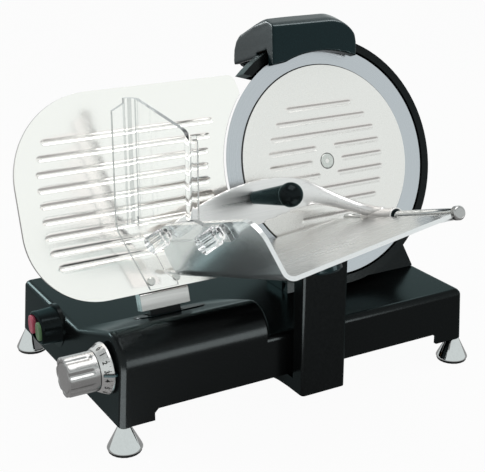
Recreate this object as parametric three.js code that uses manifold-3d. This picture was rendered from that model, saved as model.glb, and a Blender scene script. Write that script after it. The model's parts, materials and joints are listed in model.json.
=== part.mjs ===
// Electric gravity-feed food slicer, in millimetres, +Z up.
// Machine frame: X runs right along the carriage stroke, Y to the rear, Z up from the base's rim.
// Blade frame: X right, Y up the leaning blade, Z out of the cutting plane towards the operator.
// Tray frame: the blade frame rolled about Z until Y is square to the tray floor.
// Wall frame: the tray frame rolled again until Y runs up the tray's side wall.
import * as THREE from 'three';
import { mergeVertices } from 'three/addons/utils/BufferGeometryUtils.js';
import Module from 'manifold-3d';

const wasm = await Module();
wasm.setup();

const deg = Math.PI / 180;

// Fits
const seatGap = 0.3;
const runGap = 0.3;
const through = 1;

// Base casting
const baseLength = 408.3;
const baseDepth = 269;
const deckHeight = 58.5;
const castWall = 4;
const deckFillet = 7;
const endRound = 6;
const endDraft = 3.5;
const blockLength = 163.5;
const blockTop = 86.3;
const blockRound = 30;
const stripSlope = 19.6 * deg;
const frontGapHeight = 12;
const cornerPadLength = 33;
const frontGapChamfer = 4;

// Feet
const footHeight = 24;
const footInset = 7;
const footRadius = 17.5;
const footNeckRadius = 6.2;
const footStudRadius = 3;
const footStudLength = 10;
const footBossHeight = 30;
const padThickness = 3;
const padRadius = 16.5;

// Bottom cover
const coverFront = 190;
const coverSheet = 2;
const coverLift = 1;
const ventCount = 9;
const ventPitch = 12;
const ventLength = 36;
const ventWidth = 4;

// Blade and its place
const bladeRadius = 125;
const bladeLean = 17.85 * deg;
const bladeCentre = new THREE.Vector3(299.4, 109.3, 193.6);
const bevelWidth = 19;
const bevelInner = bladeRadius - bevelWidth;
const bevelFall = 2.6;
const bladeWebFront = -8;
const bladeWeb = 4;
const bladeBore = 20;

// Blade cover
const coverRimGap = 1.2;
const coverRadius = bevelInner - coverRimGap;
const coverFace = -1;
const coverThickness = 3;
const coverBossRadius = 12;
const screwHeadRadius = 8;
const screwHeadDepth = 2;
const screwShankRadius = 3;
const screwLength = 18;

// Grooves pressed into the gauge plate and the blade cover
const grooveHalfWidth = 2.8;
const grooveDepth = 1.3;
const plateGroovePitch = 15.25;
const plateGrooveCount = 9;
const coverGroovePitch = 15;
const coverGrooveCount = 9;
const coverGrooveRim = 31;
const coverHubClear = 18;

// Blade shaft, bearings and drive
const hubFlangeRadius = 34;
const hubFlange = 4.4;
const shaftRadius = 14;
const shaftBore = 6.5;
const tieRodRadius = 6;
const bearingRadius = 24;
const bearingWidth = 10.5;
const bearingStep = 27.5;
const pulleyRadius = 38;
const pulleyWidth = 20;
const pulleyFront = -62;
const motorPulleyRadius = 12;
const motorX = 48;
const motorY = -38;
const motorRadius = 40;
const motorLength = 46;
const motorShaftRadius = 5;
const beltThickness = 2.5;
const beltWidth = 16;

// Blade support and ring guard
const supportFront = -18.3;
const supportThickness = 15.7;
const supportBossRadius = 29;
const supportBossBack = -60;
const supportHubRadius = 62;
const supportFootDepth = 50;
const supportFootHeight = 10;
const supportFootLeft = -75;
const supportFootRight = 105;
const supportFootLow = -190;
const supportToe = 6;
const supportHeelX = 97;
const supportHeelY = -110;
const supportHeelLow = -134;
const supportShoulderLeft = -40;
const supportShoulderRight = 60;
const supportShoulderY = -50;
const supportWaistX = -62;
const supportWaistY = -120;
const supportFlangeLeft = 65;
const supportFlangeEnd = 12;
const neckFootHalf = 28;
const neckFootY = 30;
const ringClear = 2.5;
const ringWall = 8.8;
const ringInner = bladeRadius + ringClear;
const ringOuter = ringInner + ringWall;
const ringFront = 0.5;
const ringBack = -18;
const ringFlange = 3;
const ringFlangeReach = 9;
const ringFlangeInner = bladeRadius - ringFlangeReach;
const ringTipAngle = 130.5 * deg;
const ringTipInnerAngle = 128 * deg;
const ringEndAngle = -118 * deg;

// Motor cover
const motorCoverBack = -140;
const motorCoverWall = 3;
const motorCoverRound = 9;
const motorCoverHubRadius = 50;
const motorVentCount = 7;
const motorVentPitch = 8;

// Gauge plate and its slide
const gaugeTop = 105;
const gaugeBottom = -101;
const gaugeLeft = -350;
const gaugeUpperRound = 85;
const gaugeLowerRound = 75;
const gaugeBladeGap = 3.5;
const gaugeSheet = 4;
const gaugeSetting = 3;
const gaugeTravel = 15;
const grooveLeftInset = 21;
const grooveRightClear = 18.5;
const bracketLeft = -242;
const bracketWidth = 54;
const bracketTop = -78;
const bracketBottom = -119.5;
const bracketBack = 8;
const bracketScrewX = [-227.7, -199.4];
const bracketScrewY = -91;
const bracketScrewRadius = 4.6;
const bracketScrewHead = 1.6;
const bracketScrewShank = 2.2;
const slideCentreX = -215;
const slideWidth = 34;
const slideFront = 14;
const slideBack = -16;
const slideTop = -132;
const slideBottom = -152;
const guideRodRadius = 6;
const guideRodY = -142;
const guideRodFront = 44;
const guideRodBack = -42;
const guideBoss = 8;
const slotMargin = 2;

// Thickness knob on the left end face
const knobY = 33;
const knobZ = 50.5;
const dialRadius = 25.5;
const dialRim = 2.2;
const dialNeckRadius = 20.4;
const dialStandoff = 3;
const dialLength = 11.5;
const gripRadius = 19.8;
const gripLength = 30;
const gripFlutes = 12;
const gripSocket = 10;
const gripFluteDepth = 1.6;
const knobShaftRadius = 5;
const camLeft = 30;
const camWidth = 7;
const camSmallRadius = 11;
const camSweep = 330 * deg;
const camStart = 14 * deg;
const camEnd = 6 * deg;
const followerTip = 2;
const followerArmBack = -12;
const followerArmFront = 1;
const shaftBossLeft = 50;
const shaftBossWidth = 8;
const pointerHeight = 2.6;
const pointerLift = 2.4;
const pointerFoot = 6.5;

// Switch on the left end face
const switchY = 168;
const switchZ = 41.5;
const switchRadius = 22.5;
const switchFaceRadius = 20.8;
const switchLength = 21;
const switchPad = 2.4;
const switchPadRim = 1;
const switchWall = 3;
const switchEdge = 3.4;
const buttonSpread = 10.6;
const buttonLift = 2;
const buttonHalfWidth = 6.6;
const buttonHalfHeight = 10.2;
const buttonProud = 2.5;
const buttonDepth = 8.5;
const switchHole = 17.2;

// Carriage
const slideRodRadius = 9;
const slideRodY = 128;
const rodBossRadius = 14;
const rodBossLength = 14;
const columnLeft = 184;
const columnWidth = 52;
const columnFront = -25;
const columnDepth = 21;
const columnRound = 4;
const armBottom = -3.5;
const armThickness = 13.5;
const bushBlockLength = 100;
const bushBlockDrop = 8.5;
const bushBlockTop = deckHeight - castWall - bushBlockDrop;
const bushBlockDepth = 36;
const slideRodZ = bushBlockTop - bushBlockDepth / 2;
const bushRadius = 13;
const armRear = 182;
const guideBarFront = 160;
const guideBarDepth = 20;
const guideBarThickness = 6;
const guideBarDrop = 2.5;
const guideBarBottom = deckHeight - castWall - guideBarDrop - guideBarThickness;
const shoeLength = 46;
const shoeThickness = 12;
const seatThickness = 8;
const seatLeft = -52;
const seatRight = 34;
const seatRear = 68;
const seatFront = 152;
const seatRound = 8;
const columnTop = 200;
const footSweep = 50;
const footStraight = 4;
const ledgeLift = 4;

// Tray
const trayRoll = 5.47 * deg;
const trayOrigin = new THREE.Vector3(-80, -71.2, 0);
const trayRear = 8;
const trayRight = 76.5;
const trayFrontRight = 200;
const trayFrontLeft = 248.5;
const traySheet = 4;
const trayBendRadius = 13;
const trayBendX = -127.8;
const trayWallLean = 16 * deg;
const trayWallHeight = 49.5;
const wallRear = 39;
const wallFrontRound = 22;
const wallRearRound = 44;
const clampX = -28;
const clampZ = 136;
const clampRadius = 14;
const clampHeight = 15;
const clampStudRadius = 4;

// Food pusher
const pusherRodX = 6;
const pusherRodY = -64.5;
const pusherRodRadius = 5;
const pusherRodRear = 12;
const pusherRodFront = 196;
const rodCapRadius = 7;
const rodCapLength = 7;
const cradleLength = 10;
const cradleRear = 14;
const cradleFront = 184;
const cradleLeft = 26;
const cradleRight = 5.5;
const cradleDrop = 6.5;
const cradleTop = 1;
const hubRear = 50;
const hubFront = 103;
const hubRadius = 8.5;
const hubBushRadius = 6.5;
const pusherFace = 23;
const pusherSheet = 4;
const leafRight = -34;
const leafLength = 178;
const leafTop = -7.5;
const leafHeight = 55.5;
const armStartX = -58;
const armStartY = -26;
const armStartSink = 2;
const armRise = 2;
const armReach = 60;
const handleX = -110;
const handleY = -25;
const handleLength = 84.5;
const handleNeck = 6.6;
const handleBall = 12.3;
const handleStud = 2.5;

// Hand guard
const guardSheet = 4;
const guardStripLow = 33;
const guardStripHigh = 54;
const guardStripRear = 17;
const guardStripFront = 200;
const guardStripStep = 152;
const guardTabHigh = 48.5;
const guardTabRound = 9;
const guardRearY = 87;
const guardRearBend = 8;
const guardFrontY = -32;
const guardFrontBend = 2;
const guardLip = 10.5;
const guardTop = 296;
const guardTopFall = 8;
const guardFlange = 20;
const guardFlangeTop = 285;
const guardFlangeRise = 6;
const guardCorner = 15;
const guardFootLow = -97;
const guardFootLeft = -239;
const guardFootRight = -209;
const guardFootGap = 1;
const guardKnobHeight = 42;
const guardKnobZ = [83, 190];
const guardKnobRadius = 9;
const guardKnobLength = 22;
const guardKnobFlutes = 10;
const guardStudRadius = 2.6;

// Sharpener
const hoodFront = 16;
const hoodBack = -73;
const hoodSkirtBack = 4;
const hoodTopLeft = bladeRadius + 31.5;
const hoodTopRight = bladeRadius + 33;
const hoodTopBack = bladeRadius + 25;
const hoodSideBottom = bladeRadius - 4;
const hoodLeftTop = -53;
const hoodLeftBottom = -60;
const hoodRight = 50;
const hoodRightRound = 32;
const hoodSkirtBottom = bladeRadius - 17;
const hoodSkirtRadius = bladeRadius - 7;
const hoodWall = 3.5;
const hoodEdge = 7;
const hoodBackRound = 20;
const postZ = -34;
const postRadius = 6;
const postBottom = bladeRadius - 29;
const neckTop = bladeRadius - 3;
const stoneX = [-36, 28];
const stoneY = bladeRadius + 1;
const stoneRadius = 15;
const stoneFront = -37;
const stoneThickness = 9;
const stoneShaftRadius = 3;
const stoneButtonRadius = 8;
const stoneButtonLength = 8;
const stoneStroke = 5;

// Finishes
const finishes = {
  blackPaint: { color: 0x1b2223, roughness: 0.18, metalness: 0.0 },
  blackPlastic: { color: 0x141617, roughness: 0.35, metalness: 0.0 },
  platinum: { color: 0xe6e6e2, roughness: 0.3, metalness: 0.85 },
  bladeSteel: { color: 0xbac0c7, roughness: 0.22, metalness: 1.0 },
  brushed: { color: 0xc3c6c7, roughness: 0.35, metalness: 0.95 },
  chrome: { color: 0xdcdddd, roughness: 0.06, metalness: 1.0 },
  steel: { color: 0x9ea3a7, roughness: 0.3, metalness: 1.0 },
  bronze: { color: 0xb08d57, roughness: 0.4, metalness: 1.0 },
  rubber: { color: 0x151515, roughness: 0.85, metalness: 0.0 },
  clear: { color: 0xeaeeee, roughness: 0.08, metalness: 0.0, transparent: true, opacity: 0.35 },
  red: { color: 0xd63f57, roughness: 0.35, metalness: 0.0 },
  green: { color: 0x4f9b49, roughness: 0.35, metalness: 0.0 },
  stone: { color: 0x7b5a3d, roughness: 0.95, metalness: 0.0 },
};

const axisX = new THREE.Vector3(1, 0, 0);
const axisY = new THREE.Vector3(0, 1, 0);
const axisZ = new THREE.Vector3(0, 0, 1);
const weldDistance = 1e-4;

// Closed, outward-facing copy of a geometry, with shared corners welded and empty faces dropped.
function closed(geometry) {
  const bare = geometry.clone();
  bare.deleteAttribute('normal');
  bare.deleteAttribute('uv');
  const welded = mergeVertices(bare, weldDistance);
  const position = welded.getAttribute('position');
  const corners = welded.getIndex().array;
  const pointAt = (_, i) => new THREE.Vector3().fromBufferAttribute(position, i);
  const points = Array.from({ length: position.count }, pointAt);
  const faces = [];
  let volume = 0;
  for (let i = 0; i < corners.length; i += 3) {
    const [a, b, c] = [corners[i], corners[i + 1], corners[i + 2]];
    if (a === b || b === c || c === a) continue;
    faces.push([a, b, c]);
    volume += points[a].dot(new THREE.Vector3().crossVectors(points[b], points[c]));
  }
  const turned = volume < 0 ? faces.map(([a, b, c]) => [a, c, b]) : faces;
  const result = new THREE.BufferGeometry();
  result.setAttribute('position', position);
  result.setIndex(turned.flat());
  return result;
}

function solid(geometry) {
  const form = closed(geometry);
  const vertProperties = new Float32Array(form.getAttribute('position').array);
  const triVerts = new Uint32Array(form.getIndex().array);
  return new wasm.Manifold(new wasm.Mesh({ numProp: 3, vertProperties, triVerts }));
}

const join = (...forms) => forms.map(solidOf).reduce((sum, form) => sum.add(form));
const cut = (body, ...tools) => tools.map(solidOf).reduce((rest, tool) => rest.subtract(tool), solidOf(body));
const meet = (a, b) => solidOf(a).intersect(solidOf(b));

function solidOf(form) {
  return form instanceof THREE.BufferGeometry ? solid(form) : form;
}

function geometryOf(form) {
  if (form instanceof THREE.BufferGeometry) return closed(form);
  const mesh = form.getMesh();
  const geometry = new THREE.BufferGeometry();
  geometry.setAttribute('position', new THREE.BufferAttribute(mesh.vertProperties, 3));
  geometry.setIndex(new THREE.BufferAttribute(mesh.triVerts, 1));
  return geometry;
}

function polygon(points) {
  return new THREE.Shape(points.map(([x, y]) => new THREE.Vector2(x, y)));
}

function disc(x, y, radius) {
  return new THREE.Shape().absarc(x, y, radius, 0, 2 * Math.PI, false);
}

function oval(x, y, halfWidth, halfHeight) {
  return new THREE.Shape().absellipse(x, y, halfWidth, halfHeight, 0, 2 * Math.PI, false, 0);
}

function roundedRectangle(x0, x1, y0, y1, radius) {
  const shape = new THREE.Shape();
  shape.absarc(x1 - radius, y1 - radius, radius, 0, Math.PI / 2, false);
  shape.absarc(x0 + radius, y1 - radius, radius, Math.PI / 2, Math.PI, false);
  shape.absarc(x0 + radius, y0 + radius, radius, Math.PI, 1.5 * Math.PI, false);
  shape.absarc(x1 - radius, y0 + radius, radius, 1.5 * Math.PI, 2 * Math.PI, false);
  shape.closePath();
  return shape;
}

// Outline of a tight loop round two circles.
function loopRound(ax, ay, ra, bx, by, rb) {
  const along = Math.atan2(by - ay, bx - ax);
  const spread = Math.acos((ra - rb) / Math.hypot(bx - ax, by - ay));
  const shape = new THREE.Shape();
  shape.absarc(ax, ay, ra, along + spread, along - spread + 2 * Math.PI, false);
  shape.absarc(bx, by, rb, along - spread, along + spread, false);
  shape.closePath();
  return shape;
}

function extruded(outline, length, round, segments) {
  const settings = { depth: length, bevelEnabled: false, curveSegments: segments };
  if (round > 0) {
    const bevel = { bevelEnabled: true, bevelThickness: round, bevelSize: round, bevelOffset: -round,
      bevelSegments: round > 2 ? 3 : 1 };
    Object.assign(settings, bevel, { depth: length - 2 * round });
  }
  const form = new THREE.ExtrudeGeometry(outline, settings);
  return round > 0 ? form.translate(0, 0, round) : form;
}

// An outline in (x, y) carried along Z, in (y, z) along X, or in (x, z) along Y.
function alongZ(outline, z0, z1, round = 0, segments = 12) {
  return extruded(outline, z1 - z0, round, segments).translate(0, 0, z0);
}

function alongX(outline, x0, x1, round = 0, segments = 12) {
  const form = extruded(outline, x1 - x0, round, segments);
  return form.applyMatrix4(new THREE.Matrix4().makeBasis(axisY, axisZ, axisX)).translate(x0, 0, 0);
}

function alongY(outline, y0, y1, round = 0, segments = 12) {
  const form = extruded(outline, y1 - y0, round, segments);
  const turn = new THREE.Matrix4().makeBasis(axisX, axisZ, axisY.clone().negate());
  return form.applyMatrix4(turn).translate(0, y1, 0);
}

function box(x0, x1, y0, y1, z0, z1) {
  const form = new THREE.BoxGeometry(x1 - x0, y1 - y0, z1 - z0);
  return form.translate((x0 + x1) / 2, (y0 + y1) / 2, (z0 + z1) / 2);
}

// A profile of (radius, height) pairs turned about Z, X or Y.
function turnedY(profile, segments) {
  return new THREE.LatheGeometry(profile.map(([r, h]) => new THREE.Vector2(r, h)), segments);
}

const turnedZ = (profile, segments) => turnedY(profile, segments).rotateX(Math.PI / 2);
const turnedX = (profile, segments) => turnedY(profile, segments).rotateZ(-Math.PI / 2);

const stub = (radius, h0, h1) => [[0, h0], [radius, h0], [radius, h1], [0, h1]];
const sleeve = (inner, outer, h0, h1) => [[inner, h0], [outer, h0], [outer, h1], [inner, h1], [inner, h0]];

// A closed body through a row of elliptical sections.
function loft(sections, sides) {
  const points = [];
  const faces = [];
  for (const { centre, across, up } of sections) {
    for (let i = 0; i < sides; i += 1) {
      const angle = (2 * Math.PI * i) / sides;
      const point = centre.clone().addScaledVector(across, Math.cos(angle));
      point.addScaledVector(up, Math.sin(angle));
      points.push(point.x, point.y, point.z);
    }
  }
  for (let row = 0; row + 1 < sections.length; row += 1) {
    for (let i = 0; i < sides; i += 1) {
      const next = (i + 1) % sides;
      const [a, b] = [row * sides + i, row * sides + next];
      faces.push(a, b, b + sides, a, b + sides, a + sides);
    }
  }
  const last = (sections.length - 1) * sides;
  for (let i = 1; i + 1 < sides; i += 1) {
    faces.push(0, i + 1, i, last, last + i, last + i + 1);
  }
  const form = new THREE.BufferGeometry();
  form.setAttribute('position', new THREE.Float32BufferAttribute(points, 3));
  form.setIndex(faces);
  return form;
}

// A shallow round-ended channel cutter lying along X, centred on the face it cuts.
function groove(x0, x1, y, face) {
  const form = new THREE.CapsuleGeometry(grooveHalfWidth, x1 - x0 - 2 * grooveHalfWidth, 2, 6);
  form.rotateZ(Math.PI / 2).scale(1, 1, grooveDepth / grooveHalfWidth);
  return form.translate((x0 + x1) / 2, y, face);
}

const machine = new THREE.Group();
const bladeFrame = new THREE.Group();
bladeFrame.position.copy(bladeCentre);
bladeFrame.rotation.x = Math.PI / 2 - bladeLean;
machine.add(bladeFrame);
const trayFrame = new THREE.Group();
trayFrame.position.copy(trayOrigin);
trayFrame.rotation.z = trayRoll;
bladeFrame.add(trayFrame);
const wallFrame = new THREE.Group();
const wallNormal = new THREE.Vector3(Math.cos(trayWallLean), Math.sin(trayWallLean), 0);
const bendCentre = new THREE.Vector3(trayBendX, trayBendRadius - traySheet, 0);
wallFrame.position.copy(bendCentre).addScaledVector(wallNormal, -trayBendRadius);
wallFrame.rotation.z = trayWallLean;
trayFrame.add(wallFrame);
machine.updateMatrixWorld(true);

// Copies of a form carried from one frame to another.
function fromTo(form, from, to) {
  return form.clone().applyMatrix4(to.matrixWorld.clone().invert().multiply(from.matrixWorld));
}

const bladeToMachine = (form) => fromTo(form, bladeFrame, machine);
const machineToBlade = (form) => fromTo(form, machine, bladeFrame);
const bladeToTray = (form) => fromTo(form, bladeFrame, trayFrame);
const wallToBlade = (form) => fromTo(form, wallFrame, bladeFrame);
const trayToMachine = (form) => fromTo(form, trayFrame, machine);
const wallToTray = (form) => fromTo(form, wallFrame, trayFrame);

function piece(name, form, finish, parent = machine) {
  const geometry = geometryOf(form);
  geometry.computeVertexNormals();
  const mesh = new THREE.Mesh(geometry, new THREE.MeshStandardMaterial(finish));
  mesh.name = name;
  parent.add(mesh);
}

const footPlaces = {
  front_left: [footInset - endDraft, footInset],
  front_right: [baseLength + endDraft - footInset, footInset],
  rear_left: [footInset - endDraft, baseDepth + endDraft - footInset],
  rear_right: [baseLength + endDraft - footInset, baseDepth + endDraft - footInset],
};
const guardStudX = -(guardSheet + seatGap);
const gaugeFace = -gaugeSetting;
const gaugeBack = gaugeFace - gaugeSheet;
const pulleyBack = pulleyFront - pulleyWidth;
const slotLeft = slideCentreX - slideWidth / 2 - slotMargin;
const slotRight = slideCentreX + slideWidth / 2 + slotMargin;
const neckBack = gaugeBack - seatGap - bracketBack;
const neckFront = gaugeBack - seatGap;

// The deck's cross-section in (y, z), and the raised block's, moved in by a wall.
function deckOutline(inset, low) {
  const radius = deckFillet - inset;
  const top = deckHeight - inset;
  const shape = new THREE.Shape();
  shape.moveTo(inset, low);
  shape.lineTo(inset, top - radius);
  shape.absarc(inset + radius, top - radius, radius, Math.PI, Math.PI / 2, true);
  shape.absarc(baseDepth - inset - radius, top - radius, radius, Math.PI / 2, 0, true);
  shape.lineTo(baseDepth - inset, low);
  shape.closePath();
  return shape;
}

function blockOutline(inset, low) {
  const radius = deckFillet - inset;
  const top = deckHeight - inset;
  const round = blockRound - inset;
  const centreZ = blockTop - blockRound;
  const slopeStart = Math.PI / 2 - stripSlope;
  const startY = blockRound + round * Math.cos(slopeStart);
  const startZ = centreZ + round * Math.sin(slopeStart);
  const creaseY = startY + (startZ - top) / Math.tan(stripSlope);
  const shape = new THREE.Shape();
  shape.moveTo(inset, low);
  shape.lineTo(inset, centreZ);
  shape.absarc(blockRound, centreZ, round, Math.PI, slopeStart, true);
  shape.lineTo(creaseY, top);
  shape.absarc(baseDepth - inset - radius, top - radius, radius, Math.PI / 2, 0, true);
  shape.lineTo(baseDepth - inset, low);
  shape.closePath();
  return shape;
}

// The casting's draft: its ends and its rear wall lean outwards below the deck.
function flared(form) {
  return form.warp((point) => {
    const fall = endDraft * (1 - point[2] / deckHeight);
    point[0] += fall * ((2 * point[0]) / baseLength - 1);
    point[1] += fall * (point[1] / baseDepth);
  });
}

function baseCasting() {
  const low = -2 * endRound;
  const hull = flared(join(
    alongX(deckOutline(0, low), 0, baseLength, endRound, 3),
    alongX(blockOutline(0, low), 0, blockLength, endRound, 5),
  ));
  const far = 2 * baseLength;
  const outer = meet(hull, box(-far, far, -far, far, 0, blockTop + through));
  const hollow = flared(join(
    alongX(deckOutline(castWall, low), castWall, baseLength - castWall, 0, 3),
    alongX(blockOutline(castWall, low), castWall, blockLength - castWall, 0, 6),
  ));
  const bosses = [];
  const holes = [];
  for (const [x, y] of Object.values(footPlaces)) {
    bosses.push(turnedZ(stub(footInset, 0, footBossHeight), 12).translate(x, y, 0));
    holes.push(turnedZ(stub(footStudRadius + seatGap, -through, footStudLength + seatGap), 12)
      .translate(x, y, 0));
  }
  const bossEnd = castWall / 2 + rodBossLength;
  for (const [x0, x1] of [[-endDraft, bossEnd], [baseLength - bossEnd, baseLength + endDraft]]) {
    const barBack = guideBarFront + guideBarDepth;
    bosses.push(turnedX(stub(rodBossRadius, x0, x1), 20).translate(0, slideRodY, slideRodZ));
    bosses.push(box(x0, x1, guideBarFront, barBack, guideBarBottom - guideBarThickness, deckHeight - 1));
  }
  const rodSeat = stub(slideRodRadius + seatGap, castWall + 1, baseLength - castWall - 1);
  holes.push(turnedX(rodSeat, 24).translate(0, slideRodY, slideRodZ));
  for (const [z0, z1] of [[guideRodBack, guideRodBack + guideBoss],
    [guideRodFront - guideBoss, guideRodFront]]) {
    const boss = box(slideCentreX - 2 * guideRodRadius, slideCentreX + 2 * guideRodRadius, slideBottom,
      slideTop + 8, z0, z1);
    bosses.push(bladeToMachine(boss));
  }
  const guideSeat = stub(guideRodRadius + seatGap, guideRodBack - through, guideRodFront + through);
  holes.push(bladeToMachine(turnedZ(guideSeat, 20).translate(slideCentreX, guideRodY, 0)));
  const shaftBossTop = knobZ + 2 * knobShaftRadius;
  bosses.push(box(shaftBossLeft, shaftBossLeft + shaftBossWidth, 1, knobY + 2 * knobShaftRadius,
    knobZ - 2 * knobShaftRadius, shaftBossTop));
  const shaftSeat = stub(knobShaftRadius + runGap, -endDraft - through,
    shaftBossLeft + shaftBossWidth + through);
  holes.push(turnedX(shaftSeat, 20).translate(0, knobY, knobZ));
  const switchSeat = turnedX(stub(switchRadius + switchPadRim, -switchPad, castWall / 2), 28);
  holes.push(turnedX(stub(switchHole, -endDraft - through, castWall + through), 28)
    .translate(0, switchY, switchZ));
  const gapEnd = baseLength - cornerPadLength;
  const gap = polygon([
    [cornerPadLength, -through],
    [gapEnd, -through],
    [gapEnd, frontGapHeight - frontGapChamfer],
    [gapEnd - frontGapChamfer, frontGapHeight],
    [cornerPadLength + frontGapChamfer, frontGapHeight],
    [cornerPadLength, frontGapHeight - frontGapChamfer],
  ]);
  holes.push(alongY(gap, -through, castWall + through));
  const slotBack = neckBack - gaugeTravel + gaugeSetting - slotMargin;
  const slotFront = neckFront + gaugeSetting + slotMargin;
  holes.push(bladeToMachine(box(slotLeft, slotRight, slideTop + 1, bracketBottom + 2, slotBack, slotFront)));
  const shell = cut(outer, hollow);
  return cut(join(shell, meet(join(...bosses), outer), switchSeat.translate(0, switchY, switchZ)), ...holes);
}

function bottomCover() {
  const inside = castWall - endDraft + 2 * seatGap;
  const plate = box(inside, baseLength - inside, coverFront, baseDepth - inside, coverLift,
    coverLift + coverSheet);
  const clears = Object.values(footPlaces).map(([x, y]) => {
    return turnedZ(stub(footInset + seatGap, 0, footBossHeight), 16).translate(x, y, 0);
  });
  const middle = (coverFront + baseDepth) / 2;
  const vents = Array.from({ length: ventCount }, (_, i) => {
    const x = baseLength / 2 + (i - (ventCount - 1) / 2) * ventPitch;
    return box(x - ventWidth / 2, x + ventWidth / 2, middle - ventLength / 2, middle + ventLength / 2, 0,
      2 * coverSheet + coverLift);
  });
  return cut(plate, ...clears, ...vents);
}

function baseParts() {
  piece('base_casting', baseCasting(), finishes.blackPaint);
  piece('bottom_cover', bottomCover(), finishes.steel);
  for (const [place, [x, y]] of Object.entries(footPlaces)) {
    const foot = [
      [0, -footHeight],
      [footRadius - 0.8, -footHeight],
      [footRadius, -footHeight + 1.6],
      [footNeckRadius, -seatGap],
      [footStudRadius, -seatGap],
      [footStudRadius, footStudLength],
      [0, footStudLength],
    ];
    piece(`foot_${place}`, turnedZ(foot, 24).translate(x, y, 0), finishes.chrome);
    const low = -footHeight - padThickness;
    const pad = [[0, low], [padRadius - 0.8, low], [padRadius, low + 0.8],
      [padRadius, -footHeight - seatGap], [0, -footHeight - seatGap]];
    piece(`foot_pad_${place}`, turnedZ(pad, 20).translate(x, y, 0), finishes.rubber);
  }
}

function switchParts() {
  const face = -switchLength;
  const drum = [
    [switchHole, -seatGap],
    [switchRadius, -seatGap],
    [switchFaceRadius, face + switchEdge],
    [switchFaceRadius - switchEdge * 0.3, face + switchEdge * 0.3],
    [switchFaceRadius - switchEdge, face],
    [0, face],
    [0, face + switchWall],
    [switchFaceRadius - switchEdge, face + switchWall],
    [switchHole, face + 2 * switchWall],
    [switchHole, -seatGap],
  ];
  const places = { start_button: [-buttonSpread, finishes.green], stop_button: [buttonSpread, finishes.red] };
  const openings = Object.values(places).map(([dy]) => {
    const hole = oval(dy, buttonLift, buttonHalfWidth + runGap, buttonHalfHeight + runGap);
    return alongX(hole, face - through, face + 3 * switchWall, 0, 9);
  });
  const housing = cut(turnedX(drum, 28), ...openings);
  piece('switch_housing', housing.translate([-switchPad, switchY, switchZ]), finishes.blackPlastic);
  const buttonBack = face - buttonProud + buttonDepth;
  for (const [name, [dy, finish]] of Object.entries(places)) {
    const button = alongX(oval(dy, buttonLift, buttonHalfWidth, buttonHalfHeight), face - buttonProud,
      buttonBack, 1, 9);
    piece(name, button.translate(-switchPad, switchY, switchZ), finish);
  }
  const blockFront = buttonBack + buttonProud + 0.5;
  const half = switchHole * 0.6;
  const block = join(
    box(blockFront, castWall, -half, half, -half, half),
    turnedX(stub(switchHole - seatGap, -1, castWall - 1), 28),
  );
  piece('switch_block', block.translate([-switchPad, switchY, switchZ]), finishes.blackPlastic);
}

// The grip's scalloped outline: flats between round flutes.
function flutedOutline(radius, flutes, depth) {
  const steps = 4 * flutes;
  const points = Array.from({ length: steps }, (_, i) => {
    const angle = (2 * Math.PI * i) / steps;
    const reach = radius - depth * (0.5 - 0.5 * Math.cos(flutes * angle)) ** 2;
    return [reach * Math.cos(angle), reach * Math.sin(angle)];
  });
  return polygon(points);
}

// The thickness cam's radius grows evenly with the angle, so the plate moves evenly with the dial.
function camOutline() {
  const contact = Math.PI + Math.atan2(Math.sin(bladeLean), -Math.cos(bladeLean));
  const growth = gaugeTravel / camSweep;
  const first = contact + (gaugeSetting / gaugeTravel) * camSweep;
  const steps = 32;
  const points = Array.from({ length: steps + 1 }, (_, i) => {
    const turn = -camStart + (i / steps) * (camSweep + camStart + camEnd);
    const radius = camSmallRadius + growth * Math.min(Math.max(turn, 0), camSweep);
    const angle = first - turn;
    return [radius * Math.cos(angle), radius * Math.sin(angle)];
  });
  return polygon(points.reverse());
}

function knobParts() {
  const dialBack = -dialStandoff;
  const dialFront = dialBack - dialLength;
  const bore = knobShaftRadius + seatGap;
  const dial = [
    [bore, dialBack],
    [dialRadius, dialBack],
    [dialRadius, dialBack - dialRim],
    [dialNeckRadius, dialFront],
    [bore, dialFront],
    [bore, dialBack],
  ];
  piece('thickness_dial', turnedX(dial, 40).translate(0, knobY, knobZ), finishes.platinum);
  const gripBack = dialFront - seatGap;
  const gripFront = gripBack - gripLength;
  const grip = cut(
    alongX(flutedOutline(gripRadius, gripFlutes, gripFluteDepth), gripFront, gripBack, 0.9),
    turnedX(stub(bore, gripFront + gripSocket, gripBack + through), 20),
  );
  piece('thickness_knob', grip.translate([0, knobY, knobZ]), finishes.platinum);
  const shaftEnd = shaftBossLeft + shaftBossWidth + 2;
  const shaft = turnedX(stub(knobShaftRadius, gripFront + gripSocket + seatGap, shaftEnd), 20);
  piece('knob_shaft', shaft.translate(0, knobY, knobZ), finishes.steel);
  const cam = cut(
    alongX(camOutline(), camLeft, camLeft + camWidth),
    turnedX(stub(bore, camLeft - through, camLeft + camWidth + through), 20),
  );
  piece('thickness_cam', cam.translate([0, knobY, knobZ]), finishes.steel);
  const rim = knobY - dialRadius;
  const neck = knobY - dialNeckRadius;
  const pointerBack = -endDraft * (1 - knobZ / deckHeight) - seatGap;
  const pointer = polygon([
    [pointerBack, rim + pointerFoot],
    [pointerBack, rim - 1.3],
    [pointerBack - 0.9, rim - 2.3],
    [dialBack - dialRim - 0.4, rim - 2.3],
    [dialFront + 1, neck - 2.7],
    [dialFront + 1, neck - 1.4],
    [dialBack - dialRim - 0.6, rim - 0.8],
    [dialBack + 0.4, rim - 0.8],
    [dialBack + 0.4, rim + pointerFoot],
  ]);
  piece('dial_pointer', alongZ(pointer, knobZ + pointerLift, knobZ + pointerLift + pointerHeight),
    finishes.blackPlastic);
}

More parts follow.
